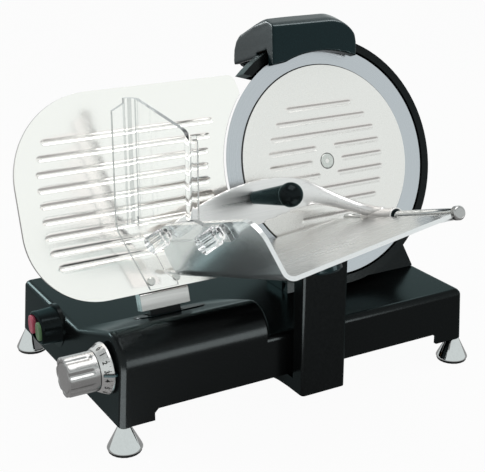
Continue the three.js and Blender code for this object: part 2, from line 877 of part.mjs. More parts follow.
function gaugePlate() {
  const shape = new THREE.Shape();
  const edge = bladeRadius + gaugeBladeGap;
  const edgeAngle = 138 * deg;
  shape.absarc(gaugeLeft + gaugeUpperRound, gaugeTop - gaugeUpperRound, gaugeUpperRound, Math.PI / 2,
    Math.PI, false);
  shape.absarc(gaugeLeft + gaugeLowerRound, gaugeBottom + gaugeLowerRound, gaugeLowerRound, Math.PI,
    1.5 * Math.PI, false);
  const cornerX = edge * Math.cos(edgeAngle) - 7;
  shape.lineTo(cornerX - 6, gaugeBottom);
  shape.quadraticCurveTo(cornerX, gaugeBottom, cornerX + 3, gaugeBottom + 6);
  shape.absarc(0, 0, edge, 2 * Math.PI - edgeAngle, edgeAngle, true);
  shape.lineTo(cornerX + 3, gaugeTop - 6);
  shape.quadraticCurveTo(cornerX, gaugeTop, cornerX - 6, gaugeTop);
  shape.closePath();
  const plate = alongZ(shape, gaugeBack, gaugeFace, 0, 12);
  const grooves = Array.from({ length: plateGrooveCount }, (_, i) => {
    const y = ((plateGrooveCount - 1) / 2 - i) * plateGroovePitch;
    const upper = y > gaugeTop - gaugeUpperRound;
    const lower = y < gaugeBottom + gaugeLowerRound;
    const round = upper ? gaugeUpperRound : gaugeLowerRound;
    const off = upper ? y - gaugeTop + gaugeUpperRound : y - gaugeBottom - gaugeLowerRound;
    const rim = upper || lower ? round - Math.sqrt(round ** 2 - off ** 2) : 0;
    const right = -Math.sqrt((bladeRadius + grooveRightClear) ** 2 - y ** 2);
    return groove(gaugeLeft + grooveLeftInset + rim, right, y, gaugeFace);
  });
  const holes = bracketScrewX.map((x) => {
    return turnedZ(stub(bracketScrewShank + seatGap, gaugeBack - through, gaugeFace + through), 12)
      .translate(x, bracketScrewY, 0);
  });
  return cut(plate, ...grooves, ...holes);
}

function gaugeParts() {
  piece('gauge_plate', gaugePlate(), finishes.platinum, bladeFrame);
  const back = gaugeBack - seatGap;
  const chin = gaugeBottom - seatGap;
  const profile = polygon([
    [bracketTop, back - bracketBack],
    [bracketTop, back],
    [chin, back],
    [chin, gaugeFace - 1.5],
    [chin - 2, gaugeFace],
    [bracketBottom, gaugeFace],
    [bracketBottom, back - bracketBack],
  ]);
  const screwHoles = bracketScrewX.map((x) => {
    return turnedZ(stub(bracketScrewShank + seatGap, back - bracketBack / 2, back + through), 12)
      .translate(x, bracketScrewY, 0);
  });
  const bracket = cut(alongX(profile, bracketLeft, bracketLeft + bracketWidth), ...screwHoles);
  piece('gauge_bracket', bracket, finishes.chrome, bladeFrame);
  const screw = [
    [0, back - bracketBack / 2 + seatGap],
    [bracketScrewShank, back - bracketBack / 2 + seatGap],
    [bracketScrewShank, gaugeFace + seatGap],
    [bracketScrewRadius, gaugeFace + seatGap],
    [bracketScrewRadius * 0.8, gaugeFace + seatGap + bracketScrewHead],
    [0, gaugeFace + seatGap + bracketScrewHead],
  ];
  bracketScrewX.forEach((x, i) => {
    piece(`gauge_screw_${i + 1}`, turnedZ(screw, 12).translate(x, bracketScrewY, 0), finishes.steel,
      bladeFrame);
  });
  const rod = turnedZ(stub(guideRodRadius, guideRodBack, guideRodFront), 20);
  piece('gauge_guide_rod', rod.translate(slideCentreX, guideRodY, 0), finishes.steel, bladeFrame);
  const toBlade = bladeFrame.matrixWorld.clone().invert();
  const shaftInBlade = new THREE.Vector3(0, knobY, knobZ).applyMatrix4(toBlade);
  const tip = shaftInBlade.z - camSmallRadius - gaugeSetting - runGap;
  const camX = camLeft - bladeCentre.x;
  const half = slideWidth / 2;
  const slide = join(
    box(slideCentreX - half, slideCentreX + half, slideBottom, slideTop, slideBack, slideFront),
    box(slideCentreX - half, slideCentreX + half, slideTop - 1, bracketBottom - seatGap, neckBack, neckFront),
    box(camX, slideCentreX - half + 1, shaftInBlade.y - 5, slideBottom + 6, followerArmBack,
      followerArmFront),
    box(camX, camX + camWidth, shaftInBlade.y - followerTip, shaftInBlade.y + followerTip,
      followerArmFront - 1, tip - followerTip),
    turnedX(stub(followerTip, camX, camX + camWidth), 16).translate(0, shaftInBlade.y, tip - followerTip),
  );
  const bore = stub(guideRodRadius + runGap, slideBack - through, slideFront + through);
  piece('gauge_slide', cut(slide, turnedZ(bore, 20).translate(slideCentreX, guideRodY, 0)),
    finishes.steel, bladeFrame);
}

// Everything below the deck, in the blade frame, with a seat's gap left over the paint.
function belowDeck() {
  const reach = 2 * baseLength;
  return machineToBlade(box(-reach, reach, -reach, reach, -reach, deckHeight + seatGap));
}

function bladeSupport() {
  const back = supportFront - supportThickness;
  const foot = polygon([
    [supportFootLeft, supportFootLow],
    [supportFootRight + supportToe, supportFootLow],
    [supportFootRight, supportHeelLow],
    [supportHeelX, supportHeelY],
    [supportShoulderRight, supportShoulderY],
    [supportShoulderLeft, supportShoulderY],
    [supportWaistX, supportWaistY],
  ]);
  const neckTopHalf = 2 * postRadius;
  const neck = polygon([
    [-neckFootHalf, neckFootY], [neckFootHalf, neckFootY], [neckTopHalf, neckTop], [-neckTopHalf, neckTop],
  ]);
  const deckToCentre = bladeCentre.z - deckHeight;
  const flangeFront = bladeCentre.y - deckToCentre * Math.tan(bladeLean) - supportFront / Math.cos(bladeLean);
  const flange = roundedRectangle(
    bladeCentre.x - supportFlangeLeft, baseLength - supportFlangeEnd,
    flangeFront + 4, flangeFront + supportFootDepth, 8);
  const body = join(
    alongZ(foot, back, supportFront),
    alongZ(disc(0, 0, supportHubRadius), back, supportFront, 0, 20),
    alongZ(neck, back, supportFront),
    turnedZ(stub(supportBossRadius, supportBossBack, supportFront), 36),
    turnedY(stub(2 * postRadius, postBottom - 20, neckTop), 24).translate(0, 0, postZ),
    machineToBlade(alongZ(flange, deckHeight - 5, deckHeight + supportFootHeight)),
  );
  const bearingSeat = turnedZ(stub(bearingRadius + seatGap, supportBossBack - through,
    supportFront + through), 36);
  const postSeat = turnedY(stub(postRadius + runGap, postBottom - 4, neckTop + through), 20)
    .translate(0, 0, postZ);
  const ringSpace = turnedZ(stub(ringOuter + 20, supportFront, 20), 36);
  return cut(body, belowDeck(), bearingSeat, postSeat, ringSpace);
}

function ringGuard() {
  const outline = (inner, tipInner) => {
    const shape = new THREE.Shape();
    shape.absarc(0, 0, ringOuter, ringEndAngle, ringTipAngle, false);
    shape.absarc(0, 0, inner, tipInner, ringEndAngle, true);
    shape.closePath();
    return shape;
  };
  const ring = join(
    alongZ(outline(ringInner, ringTipInnerAngle), ringBack, ringFront, 0, 32),
    alongZ(outline(ringFlangeInner, ringTipInnerAngle - 4 * deg), ringBack, ringBack + ringFlange, 0, 32),
  );
  return cut(ring, belowDeck());
}

function bladeParts() {
  piece('blade_support', bladeSupport(), finishes.blackPaint, bladeFrame);
  piece('ring_guard', ringGuard(), finishes.blackPaint, bladeFrame);
  const webBack = bladeWebFront - bladeWeb;
  const blade = [
    [bladeBore, webBack],
    [bevelInner - 4, webBack],
    [bladeRadius - 6, -4.5],
    [bladeRadius, -0.4],
    [bladeRadius, 0],
    [bevelInner, -bevelFall],
    [bevelInner - 1, bladeWebFront],
    [bladeBore, bladeWebFront],
    [bladeBore, webBack],
  ];
  piece('blade', turnedZ(blade, 64), finishes.bladeSteel, bladeFrame);
  const flangeFront = webBack - seatGap;
  const shaft = [
    [shaftBore, pulleyBack - 3],
    [shaftRadius, pulleyBack - 3],
    [shaftRadius, flangeFront - hubFlange],
    [hubFlangeRadius, flangeFront - hubFlange],
    [hubFlangeRadius, flangeFront],
    [bladeBore - seatGap, flangeFront],
    [bladeBore - seatGap, bladeWebFront],
    [shaftBore, bladeWebFront],
    [shaftBore, pulleyBack - 3],
  ];
  piece('blade_shaft', turnedZ(shaft, 20), finishes.steel, bladeFrame);
  ['front', 'rear'].forEach((place, i) => {
    const z1 = supportFront - 1.2 - i * bearingStep;
    const bearing = sleeve(shaftRadius + seatGap, bearingRadius, z1 - bearingWidth, z1);
    piece(`bearing_${place}`, turnedZ(bearing, 20), finishes.steel, bladeFrame);
  });
  piece('blade_pulley', turnedZ(pulleyProfile(pulleyRadius, shaftRadius + seatGap), 22), finishes.brushed,
    bladeFrame);
  const coverBack = coverFace - coverThickness;
  const bossBack = bladeWebFront + seatGap;
  const screwSeat = [
    [0, bossBack - through],
    [screwShankRadius + seatGap, bossBack - through],
    [screwShankRadius + seatGap, coverFace - screwHeadDepth - seatGap],
    [screwHeadRadius + seatGap, coverFace - screwHeadDepth - seatGap],
    [screwHeadRadius + seatGap, coverFace + through],
    [0, coverFace + through],
  ];
  const coverDisc = [
    [0, bossBack],
    [coverBossRadius, bossBack],
    [coverBossRadius, coverBack],
    [coverRadius, coverBack],
    [coverRadius, coverFace - 0.8],
    [coverRadius - 0.8, coverFace],
    [0, coverFace],
  ];
  const cover = cut(turnedZ(coverDisc, 60), turnedZ(screwSeat, 20), ...coverGrooves());
  piece('blade_cover', cover, finishes.platinum, bladeFrame);
  const screw = [
    [0, coverFace - screwHeadDepth - screwLength],
    [screwShankRadius, coverFace - screwHeadDepth - screwLength],
    [screwShankRadius, coverFace - screwHeadDepth],
    [screwHeadRadius, coverFace - screwHeadDepth],
    [screwHeadRadius, coverFace - 0.5],
    [screwHeadRadius - 0.5, coverFace],
    [0, coverFace],
  ];
  const hexSocket = turnedZ(stub(2.6, coverFace - screwHeadDepth * 0.8, coverFace + through), 6);
  piece('cover_screw', cut(turnedZ(screw, 20), hexSocket), finishes.steel, bladeFrame);
  const tieRod = cut(
    turnedZ(stub(tieRodRadius, tieRodBack, bladeWebFront), 24),
    turnedZ(stub(screwShankRadius + seatGap, coverFace - screwHeadDepth - screwLength - 1, 0), 16),
  );
  piece('cover_tie_rod', tieRod, finishes.steel, bladeFrame);
}

// Channels across the blade cover, broken round its screw.
function coverGrooves() {
  const cutters = [];
  for (let i = 0; i < coverGrooveCount; i += 1) {
    const y = ((coverGrooveCount - 1) / 2 - i) * coverGroovePitch;
    const reach = Math.sqrt((coverRadius - coverGrooveRim) ** 2 - y ** 2);
    const clear = Math.abs(y) < coverHubClear ? coverHubClear - Math.abs(y) * 0.5 : 0;
    if (clear > 0) {
      cutters.push(groove(-reach, -clear, y, coverFace), groove(clear, reach, y, coverFace));
    } else {
      cutters.push(groove(-reach, reach, y, coverFace));
    }
  }
  return cutters;
}

const tieRodBack = pulleyBack - 16;
const motorFront = pulleyBack - 6;

// A ribbed-belt pulley with a lip on each side of the belt.
function pulleyProfile(radius, bore) {
  const lip = (pulleyWidth - beltWidth) / 2;
  return [
    [bore, pulleyBack],
    [radius + beltThickness, pulleyBack],
    [radius + beltThickness, pulleyBack + lip - seatGap],
    [radius, pulleyBack + lip - seatGap],
    [radius, pulleyFront - lip + seatGap],
    [radius + beltThickness, pulleyFront - lip + seatGap],
    [radius + beltThickness, pulleyFront],
    [bore, pulleyFront],
    [bore, pulleyBack],
  ];
}

function driveParts() {
  const lip = (pulleyWidth - beltWidth) / 2;
  const inner = loopRound(0, 0, pulleyRadius + seatGap, motorX, motorY, motorPulleyRadius + seatGap);
  const outerGrow = seatGap + beltThickness;
  const belt = loopRound(0, 0, pulleyRadius + outerGrow, motorX, motorY, motorPulleyRadius + outerGrow);
  belt.holes.push(new THREE.Path(inner.getPoints(10)));
  piece('drive_belt', alongZ(belt, pulleyBack + lip, pulleyFront - lip, 0, 10), finishes.rubber, bladeFrame);
  const socket = motorFront - motorLength / 2;
  const rotor = [
    [0, socket + seatGap],
    [motorShaftRadius, socket + seatGap],
    ...pulleyProfile(motorPulleyRadius, motorShaftRadius).slice(0, 7),
    [0, pulleyFront],
  ];
  piece('motor_pulley', turnedZ(rotor, 18).translate(motorX, motorY, 0), finishes.steel, bladeFrame);
  const motorBack = motorFront - motorLength;
  const can = [
    [motorShaftRadius + runGap, socket],
    [motorShaftRadius + runGap, motorFront],
    [motorRadius * 0.5, motorFront],
    [motorRadius * 0.55, motorFront - 4],
    [motorRadius - 3, motorFront - 4],
    [motorRadius, motorFront - 7],
    [motorRadius, motorBack + 3],
    [motorRadius - 3, motorBack],
    [0, motorBack],
    [0, socket],
    [motorShaftRadius + runGap, socket],
  ];
  piece('motor', turnedZ(can, 22).translate(motorX, motorY, 0), finishes.steel, bladeFrame);
  piece('motor_cover', motorCover(motorBack), finishes.blackPaint, bladeFrame);
}

// A deep rounded can over the belt and motor, open towards the blade support.
function motorCover(motorBack) {
  const front = supportFront - supportThickness - seatGap;
  const shellRadius = motorRadius + motorCoverWall + 2;
  const body = alongZ(loopRound(0, 0, motorCoverHubRadius, motorX, motorY, shellRadius),
    motorCoverBack, front + motorCoverRound, motorCoverRound, 9);
  const trimmed = cut(body, box(-300, 300, -300, 300, front, front + 100));
  const hollow = alongZ(
    loopRound(0, 0, motorCoverHubRadius - motorCoverWall, motorX, motorY, shellRadius - motorCoverWall),
    motorBack - seatGap, front + through, 0, 9);
  const boss = turnedZ(stub(2 * tieRodRadius, motorCoverBack + 1, tieRodBack + 8), 20);
  const seat = turnedZ(stub(tieRodRadius + seatGap, tieRodBack - seatGap, tieRodBack + 40), 20);
  const vents = Array.from({ length: motorVentCount }, (_, i) => {
    const y = motorY + (i - (motorVentCount - 1) / 2) * motorVentPitch;
    const half = Math.sqrt((motorRadius - 8) ** 2 - (y - motorY) ** 2);
    return box(motorX - half, motorX + half, y - 1.6, y + 1.6, motorCoverBack - through,
      motorBack - 2 * seatGap);
  });
  return cut(join(cut(trimmed, hollow), boss), seat, ...vents);
}

function carriageParts() {
  const rod = turnedX(stub(slideRodRadius, castWall + 1 + seatGap, baseLength - castWall - 1 - seatGap), 24);
  piece('slide_rod', rod.translate(0, slideRodY, slideRodZ), finishes.steel);
  const bossEnd = castWall / 2 + rodBossLength + seatGap;
  const bar = box(bossEnd, baseLength - bossEnd, guideBarFront, guideBarFront + guideBarDepth,
    guideBarBottom, guideBarBottom + guideBarThickness);
  piece('guide_bar', bar, finishes.steel);
  const columnMiddle = columnLeft + columnWidth / 2;
  const blockFront = slideRodY - bushBlockDepth / 2;
  const blockBack = slideRodY + bushBlockDepth / 2;
  const blockLeft = columnMiddle - bushBlockLength / 2;
  const armTop = armBottom + armThickness;
  const columnBack = columnFront + columnDepth;
  const column = alongZ(roundedRectangle(columnLeft, columnLeft + columnWidth, columnFront, columnBack,
    columnRound), armBottom, columnTop, 0, 4);
  const columnRight = columnLeft + columnWidth;
  const blockRight = blockLeft + bushBlockLength;
  const footPlan = new THREE.Shape();
  footPlan.moveTo(columnLeft, columnFront + columnRound);
  footPlan.lineTo(columnRight, columnFront + columnRound);
  footPlan.lineTo(columnRight, footStraight);
  footPlan.bezierCurveTo(columnRight, footSweep, blockRight, footSweep, blockRight,
    blockFront + footStraight);
  footPlan.lineTo(blockRight, blockBack);
  footPlan.lineTo(blockLeft, blockBack);
  footPlan.lineTo(blockLeft, blockFront + footStraight);
  footPlan.bezierCurveTo(blockLeft, footSweep, columnLeft, footSweep, columnLeft, footStraight);
  footPlan.closePath();
  const shoeLeft = columnMiddle - shoeLength / 2;
  const shoeTop = guideBarBottom - seatGap;
  const ledgeTop = shoeTop - shoeThickness - seatGap;
  const seat = trayToMachine(alongY(
    roundedRectangle(seatLeft, seatRight, seatRear, seatFront, seatRound),
    -traySheet - seatGap - seatThickness, -traySheet - seatGap));
  const far = 2 * baseLength;
  const aboveTray = trayToMachine(box(-far, far, -traySheet - seatGap, far, -far, far));
  const clampHole = turnedY(stub(clampStudRadius + seatGap, -traySheet - seatThickness - 3, 3), 16)
    .translate(clampX, 0, clampZ);
  const bushSeat = turnedX(stub(bushRadius + seatGap, blockLeft - through,
    blockLeft + bushBlockLength + through), 20);
  const arm = cut(
    join(
      cut(column, aboveTray),
      seat,
      alongZ(footPlan, armBottom, armTop, 0, 8),
      box(blockLeft, blockLeft + bushBlockLength, blockFront, blockBack, armBottom, bushBlockTop),
      box(shoeLeft, shoeLeft + shoeLength, blockBack - 1, armRear, armBottom + ledgeLift, ledgeTop),
    ),
    bushSeat.translate(0, slideRodY, slideRodZ),
    trayToMachine(clampHole),
  );
  piece('carriage_arm', arm, finishes.blackPaint);
  const bush = turnedX(sleeve(slideRodRadius + runGap, bushRadius, blockLeft,
    blockLeft + bushBlockLength), 20);
  piece('slide_bush', bush.translate(0, slideRodY, slideRodZ), finishes.bronze);
  const shoe = box(shoeLeft, shoeLeft + shoeLength, guideBarFront, guideBarFront + guideBarDepth,
    shoeTop - shoeThickness, shoeTop);
  piece('slide_shoe', shoe, finishes.blackPlastic);
}

function trayForm() {
  const lean = trayWallLean;
  const outer = trayBendRadius;
  const inner = trayBendRadius - traySheet;
  const up = new THREE.Vector2(-Math.sin(lean), Math.cos(lean));
  const side = new THREE.Vector2(Math.cos(lean), Math.sin(lean));
  const centre = new THREE.Vector2(bendCentre.x, bendCentre.y);
  const outerFoot = centre.clone().addScaledVector(side, -outer);
  const innerFoot = centre.clone().addScaledVector(side, -inner);
  const outerTop = outerFoot.clone().addScaledVector(up, trayWallHeight);
  const innerTop = innerFoot.clone().addScaledVector(up, trayWallHeight);
  const section = new THREE.Shape();
  section.moveTo(trayRight, -traySheet);
  section.lineTo(trayRight, 0);
  section.absarc(centre.x, centre.y, inner, 1.5 * Math.PI, Math.PI + lean, true);
  section.lineTo(innerTop.x, innerTop.y);
  section.lineTo(outerTop.x, outerTop.y);
  section.absarc(centre.x, centre.y, outer, Math.PI + lean, 1.5 * Math.PI, false);
  section.closePath();
  const plan = polygon([
    [trayRight + 5, trayRear],
    [trayRight + 5, trayFrontRight],
    [trayBendX, trayFrontLeft],
    [trayBendX - 80, trayFrontLeft],
    [trayBendX - 80, trayRear],
  ]);
  const sheet = meet(alongZ(section, trayRear, trayFrontLeft + 5, 0, 8), alongY(plan, -60, 160));
  const rearCut = new THREE.Shape();
  rearCut.moveTo(-4, -through);
  rearCut.lineTo(-4, wallRear);
  rearCut.absarc(trayWallHeight - wallRearRound, wallRear + wallRearRound, wallRearRound, -Math.PI / 2, 0,
    false);
  rearCut.lineTo(trayWallHeight + 10, wallRear + wallRearRound);
  rearCut.lineTo(trayWallHeight + 10, -through);
  const frontCut = new THREE.Shape();
  frontCut.moveTo(trayWallHeight - wallFrontRound, trayFrontLeft);
  frontCut.absarc(trayWallHeight - wallFrontRound, trayFrontLeft - wallFrontRound, wallFrontRound,
    Math.PI / 2, 0, true);
  frontCut.lineTo(trayWallHeight + 10, trayFrontLeft - wallFrontRound);
  frontCut.lineTo(trayWallHeight + 10, trayFrontLeft + 10);
  frontCut.lineTo(trayWallHeight - wallFrontRound, trayFrontLeft + 10);
  const cradles = [cradleRear, cradleFront].map((z) => {
    const block = box(pusherRodX - cradleLeft, pusherRodX + cradleRight, pusherRodY - cradleDrop,
      pusherRodY - cradleTop, z, z + cradleLength);
    return bladeToTray(block);
  });
  const floorAbove = box(trayRight - 60, trayRight - 1, 0, 40, 0, 300);
  const rodSeat = turnedZ(stub(pusherRodRadius + seatGap, 0, 300), 20).translate(pusherRodX, pusherRodY, 0);
  const knobHoles = guardKnobZ.map((z) => {
    const hole = turnedX(stub(guardStudRadius + seatGap, -10, 20), 12).translate(0, guardKnobHeight, z);
    return wallToTray(hole);
  });
  const clampHole = turnedY(stub(clampStudRadius + seatGap, -2 * traySheet, -1.2), 16)
    .translate(clampX, 0, clampZ);
  return cut(
    join(sheet, ...cradles),
    wallToTray(alongX(rearCut, -8, 12)),
    wallToTray(alongX(frontCut, -8, 12)),
    floorAbove,
    bladeToTray(rodSeat),
    ...knobHoles,
    clampHole,
  );
}

function trayParts() {
  piece('tray', trayForm(), finishes.brushed, trayFrame);
  const under = -traySheet - seatGap - seatThickness - seatGap;
  const clamp = [
    [0, under - clampHeight],
    [clampRadius - 2, under - clampHeight],
    [clampRadius, under - clampHeight + 2],
    [clampRadius, under - 5],
    [clampRadius * 0.6, under],
    [clampStudRadius, under],
    [clampStudRadius, -1.2 - seatGap],
    [0, -1.2 - seatGap],
  ];
  piece('tray_clamp_knob', turnedY(clamp, 20).translate(clampX, 0, clampZ), finishes.blackPlastic, trayFrame);
  const rod = turnedZ(stub(pusherRodRadius, pusherRodRear, pusherRodFront), 20);
  piece('pusher_rod', rod.translate(pusherRodX, pusherRodY, 0), finishes.chrome, bladeFrame);
  const capBack = pusherRodFront + seatGap;
  const cap = [
    [0, capBack],
    [rodCapRadius, capBack],
    [rodCapRadius, capBack + rodCapLength - 1.5],
    [rodCapRadius - 1.5, capBack + rodCapLength],
    [0, capBack + rodCapLength + 0.4],
  ];
  piece('rod_cap', turnedZ(cap, 20).translate(pusherRodX, pusherRodY, 0), finishes.platinum, bladeFrame);
}

// The pusher's leaf-shaped plate, its swept arm and its hub, as one casting.
function pusherArm() {
  // Shares of the leaf's length from its right end, and of its height from its top.
  const at = (along, down) => [leafRight - leafLength * along, leafTop - leafHeight * down];
  const leaf = new THREE.Shape();
  leaf.moveTo(...at(1, 0.586));
  leaf.bezierCurveTo(...at(0.792, 0.261), ...at(0.596, 0.009), ...at(0.343, 0));
  leaf.bezierCurveTo(...at(0.157, 0), ...at(0.079, 0.117), ...at(0, 0.297));
  leaf.lineTo(...at(0, 0.64));
  leaf.bezierCurveTo(...at(0.146, 0.622), ...at(0.343, 0.784), ...at(0.539, 0.892));
  leaf.bezierCurveTo(...at(0.736, 1), ...at(0.904, 0.946), ...at(0.989, 0.694));
  leaf.closePath();
  const plate = alongZ(leaf, pusherFace - pusherSheet, pusherFace, 0, 12);
  const start = new THREE.Vector3(armStartX, armStartY, pusherFace - armStartSink);
  const span = new THREE.Vector3(pusherRodX, pusherRodY + armRise, pusherFace + armReach).sub(start);
  // Each section's place as shares of the arm's span, its heading, and its half height and thickness
  // in hub radii.
  const sections = [
    [0, 0, 0, 0, 1, 1.76, 0.21],
    [0.25, 0.11, 0.032, -0.25, 1, 1.47, 0.35],
    [0.5, 0.33, 0.145, -0.6, 1, 1.12, 0.49],
    [0.72, 0.575, 0.32, -0.8, 0.8, 0.88, 0.59],
    [0.89, 0.795, 0.55, -1, 0.5, 0.765, 0.635],
    [0.97, 0.93, 0.775, -1, 0.2, 0.82, 0.66],
    [1, 1, 1, -1, 0, 0.894, 0.73],
  ];
  const arm = loft(sections.map(([sx, sy, sz, ax, az, tall, thick]) => ({
    centre: new THREE.Vector3(sx, sy, sz).multiply(span).add(start),
    across: new THREE.Vector3(ax, 0, az).normalize().multiplyScalar(thick * hubRadius),
    up: new THREE.Vector3(0, tall * hubRadius, 0),
  })), 12);
  const hub = turnedZ(stub(hubRadius, hubRear, hubFront), 20).translate(pusherRodX, pusherRodY, 0);
  const bore = turnedZ(stub(hubBushRadius + seatGap, 0, hubFront + through), 20)
    .translate(pusherRodX, pusherRodY, 0);
  const studHole = turnedZ(stub(handleStud + seatGap, 0, pusherFace + through), 12)
    .translate(handleX, handleY, 0);
  return cut(join(plate, arm, hub), bore, studHole);
}

function pusherParts() {
  piece('pusher_arm', pusherArm(), finishes.brushed, bladeFrame);
  const bush = sleeve(pusherRodRadius + runGap, hubBushRadius, hubRear, hubFront + 1);
  piece('pusher_bush', turnedZ(bush, 20).translate(pusherRodX, pusherRodY, 0), finishes.blackPlastic,
    bladeFrame);
  const start = pusherFace + seatGap;
  const end = start + handleLength;
  const ballCentre = end - handleBall;
  const dome = Array.from({ length: 7 }, (_, i) => {
    const angle = ((i / 6) * 105 - 15) * deg;
    return [handleBall * Math.cos(angle), ballCentre + handleBall * Math.sin(angle)];
  });
  dome[6][0] = 0;
  const handle = [
    [0, pusherFace - pusherSheet + 0.5],
    [handleStud, pusherFace - pusherSheet + 0.5],
    [handleStud, start],
    [handleNeck - 1, start],
    [handleNeck, start + 1.5],
    [handleBall - 1.1, ballCentre - 6],
    ...dome,
  ];
  piece('pusher_handle', turnedZ(handle, 20).translate(handleX, handleY, 0), finishes.blackPlastic,
    bladeFrame);
}

// The guard's section from above: a flange at the rear, a long side, and a lip turned in at the front.
function guardSection(left) {
  const right = left + guardSheet;
  const rear = new THREE.Vector2(left - guardRearBend, guardRearY - guardSheet - guardRearBend);
  const front = new THREE.Vector2(right + guardFrontBend, guardFrontY + guardSheet + guardFrontBend);
  const shape = new THREE.Shape();
  shape.moveTo(left - guardFlange, guardRearY - guardSheet);
  shape.lineTo(rear.x, guardRearY - guardSheet);
  shape.absarc(rear.x, rear.y, guardRearBend, Math.PI / 2, 0, true);
  shape.lineTo(left, front.y);
  shape.absarc(front.x, front.y, guardSheet + guardFrontBend, Math.PI, 1.5 * Math.PI, false);
  shape.lineTo(left + guardLip, guardFrontY);
  shape.lineTo(left + guardLip, guardFrontY + guardSheet);
  shape.lineTo(front.x, guardFrontY + guardSheet);
  shape.absarc(front.x, front.y, guardFrontBend, 1.5 * Math.PI, Math.PI, true);
  shape.lineTo(right, rear.y);
  shape.absarc(rear.x, rear.y, guardRearBend + guardSheet, 0, Math.PI / 2, false);
  shape.lineTo(left - guardFlange, guardRearY);
  shape.closePath();
  return shape;
}

// The guard's outline from the left: its top falls towards the rounded front corner.
function guardSide(low) {
  const frontTop = guardTop - guardTopFall;
  const shape = new THREE.Shape();
  shape.moveTo(guardRearY, low);
  shape.lineTo(guardRearY, guardTop);
  shape.lineTo(guardRearY - guardRearBend - guardSheet, guardTop);
  shape.lineTo(guardFrontY + guardCorner, frontTop);
  shape.absarc(guardFrontY + guardCorner, frontTop - guardCorner, guardCorner, Math.PI / 2, Math.PI, false);
  shape.lineTo(guardFrontY, low);
  shape.closePath();
  return shape;
}

function guardParts() {
  const stripOutline = new THREE.Shape();
  stripOutline.moveTo(guardStripLow, guardStripRear);
  stripOutline.lineTo(guardStripHigh, guardStripRear);
  stripOutline.lineTo(guardStripHigh, guardStripStep);
  stripOutline.lineTo(guardTabHigh, guardStripStep + guardTabRound);
  stripOutline.lineTo(guardTabHigh, guardStripFront - guardTabRound);
  stripOutline.absarc(guardTabHigh - guardTabRound, guardStripFront - guardTabRound, guardTabRound, 0,
    Math.PI / 2, false);
  stripOutline.lineTo(guardStripLow, guardStripFront);
  stripOutline.closePath();
  const strip = alongX(stripOutline, guardStudX, -seatGap, 0, 5);
  const left = new THREE.Vector3(guardStudX, guardStripHigh - 3, 0).applyMatrix4(wallFrame.matrixWorld).x;
  const bendLine = new THREE.Vector3(0, guardStripHigh, 0).applyMatrix4(wallFrame.matrixWorld);
  const bend = bendLine.applyMatrix4(bladeFrame.matrixWorld.clone().invert()).y;
  const far = 2 * baseLength;
  const low = deckHeight;
  const walls = meet(alongZ(guardSection(left), low, guardTop + through, 0, 6),
    alongX(guardSide(low), -far, far, 0, 6));
  const flangeSlope = polygon([
    [left - guardFlange - through, guardFlangeTop],
    [left - guardFlange, guardFlangeTop],
    [left - guardRearBend, guardFlangeTop + guardFlangeRise],
    [left - guardRearBend, guardTop + 2 * through],
    [left - guardFlange - through, guardTop + 2 * through],
  ]);
  const belowBend = bladeToMachine(box(-far, far, -far, bend - 1.5, -far, far));
  const upper = cut(walls, alongY(flangeSlope, guardRearY - 2 * guardSheet, guardRearY + through), belowBend);
  const panelLeft = left - bladeCentre.x;
  const wallInBlade = trayFrame.matrix.clone().multiply(wallFrame.matrix);
  const wallFoot = new THREE.Vector3(-guardFootGap, 0, 0).applyMatrix4(wallInBlade);
  const wallHead = new THREE.Vector3(-guardFootGap, guardStripLow, 0).applyMatrix4(wallInBlade);
  const bendMiddle = bendCentre.clone().applyMatrix4(trayFrame.matrix);
  const bendReach = trayBendRadius + guardFootGap;
  const foot = polygon([
    [panelLeft - guardFlange, bend + 6],
    [panelLeft + guardSheet, bend + 6],
    [panelLeft + guardSheet, bend - 4],
    [wallHead.x, wallHead.y],
    [wallFoot.x, wallFoot.y],
    [bendMiddle.x - bendReach * 0.9, bendMiddle.y - bendReach * 0.5],
    [bendMiddle.x - bendReach * 0.5, bendMiddle.y - bendReach * 0.95],
    [guardFootRight, bendMiddle.y - bendReach * 1.2],
    [guardFootRight, guardFootLow],
    [guardFootLeft, guardFootLow],
    [panelLeft - guardFlange, bend - 6],
  ]);
  const lowerFlange = alongZ(foot, guardStripRear, guardStripRear + guardSheet);
  const knobHoles = guardKnobZ.map((z) => {
    return wallToBlade(turnedX(stub(guardStudRadius + seatGap, -10, 20), 12)
      .translate(0, guardKnobHeight, z));
  });
  const panel = upper.transform(bladeFrame.matrixWorld.clone().invert().toArray());
  const guard = cut(join(panel, wallToBlade(strip), lowerFlange), ...knobHoles);
  piece('hand_guard', guard, finishes.clear, bladeFrame);
  guardKnobZ.forEach((z, i) => {
    const seat = guardStudX - seatGap;
    const grip = alongX(flutedOutline(guardKnobRadius, guardKnobFlutes, 1.2), seat - guardKnobLength,
      seat - 4, 0.8);
    const neck = turnedX(stub(guardKnobRadius * 0.7, seat - 5, seat), 20);
    const stud = turnedX(stub(guardStudRadius, seat - 1, traySheet), 12);
    const knob = join(grip, neck, stud).translate([0, guardKnobHeight, z]);
    piece(`guard_knob_${['rear', 'front'][i]}`, knob, finishes.clear, wallFrame);
  });
}

function hoodOutline(inset, bottom) {
  const shape = new THREE.Shape();
  const corner = 6 - inset / 2;
  const round = hoodRightRound - inset;
  shape.moveTo(hoodLeftBottom + inset, bottom);
  shape.lineTo(hoodLeftTop + inset, hoodTopLeft - inset - corner);
  shape.quadraticCurveTo(hoodLeftTop + inset, hoodTopLeft - inset, hoodLeftTop + inset + corner,
    hoodTopLeft - inset);
  shape.lineTo(hoodRight - inset - round, hoodTopRight - inset);
  shape.absarc(hoodRight - inset - round, hoodTopRight - inset - round, round, Math.PI / 2, 0, true);
  shape.lineTo(hoodRight - inset - 4, bottom);
  return shape;
}

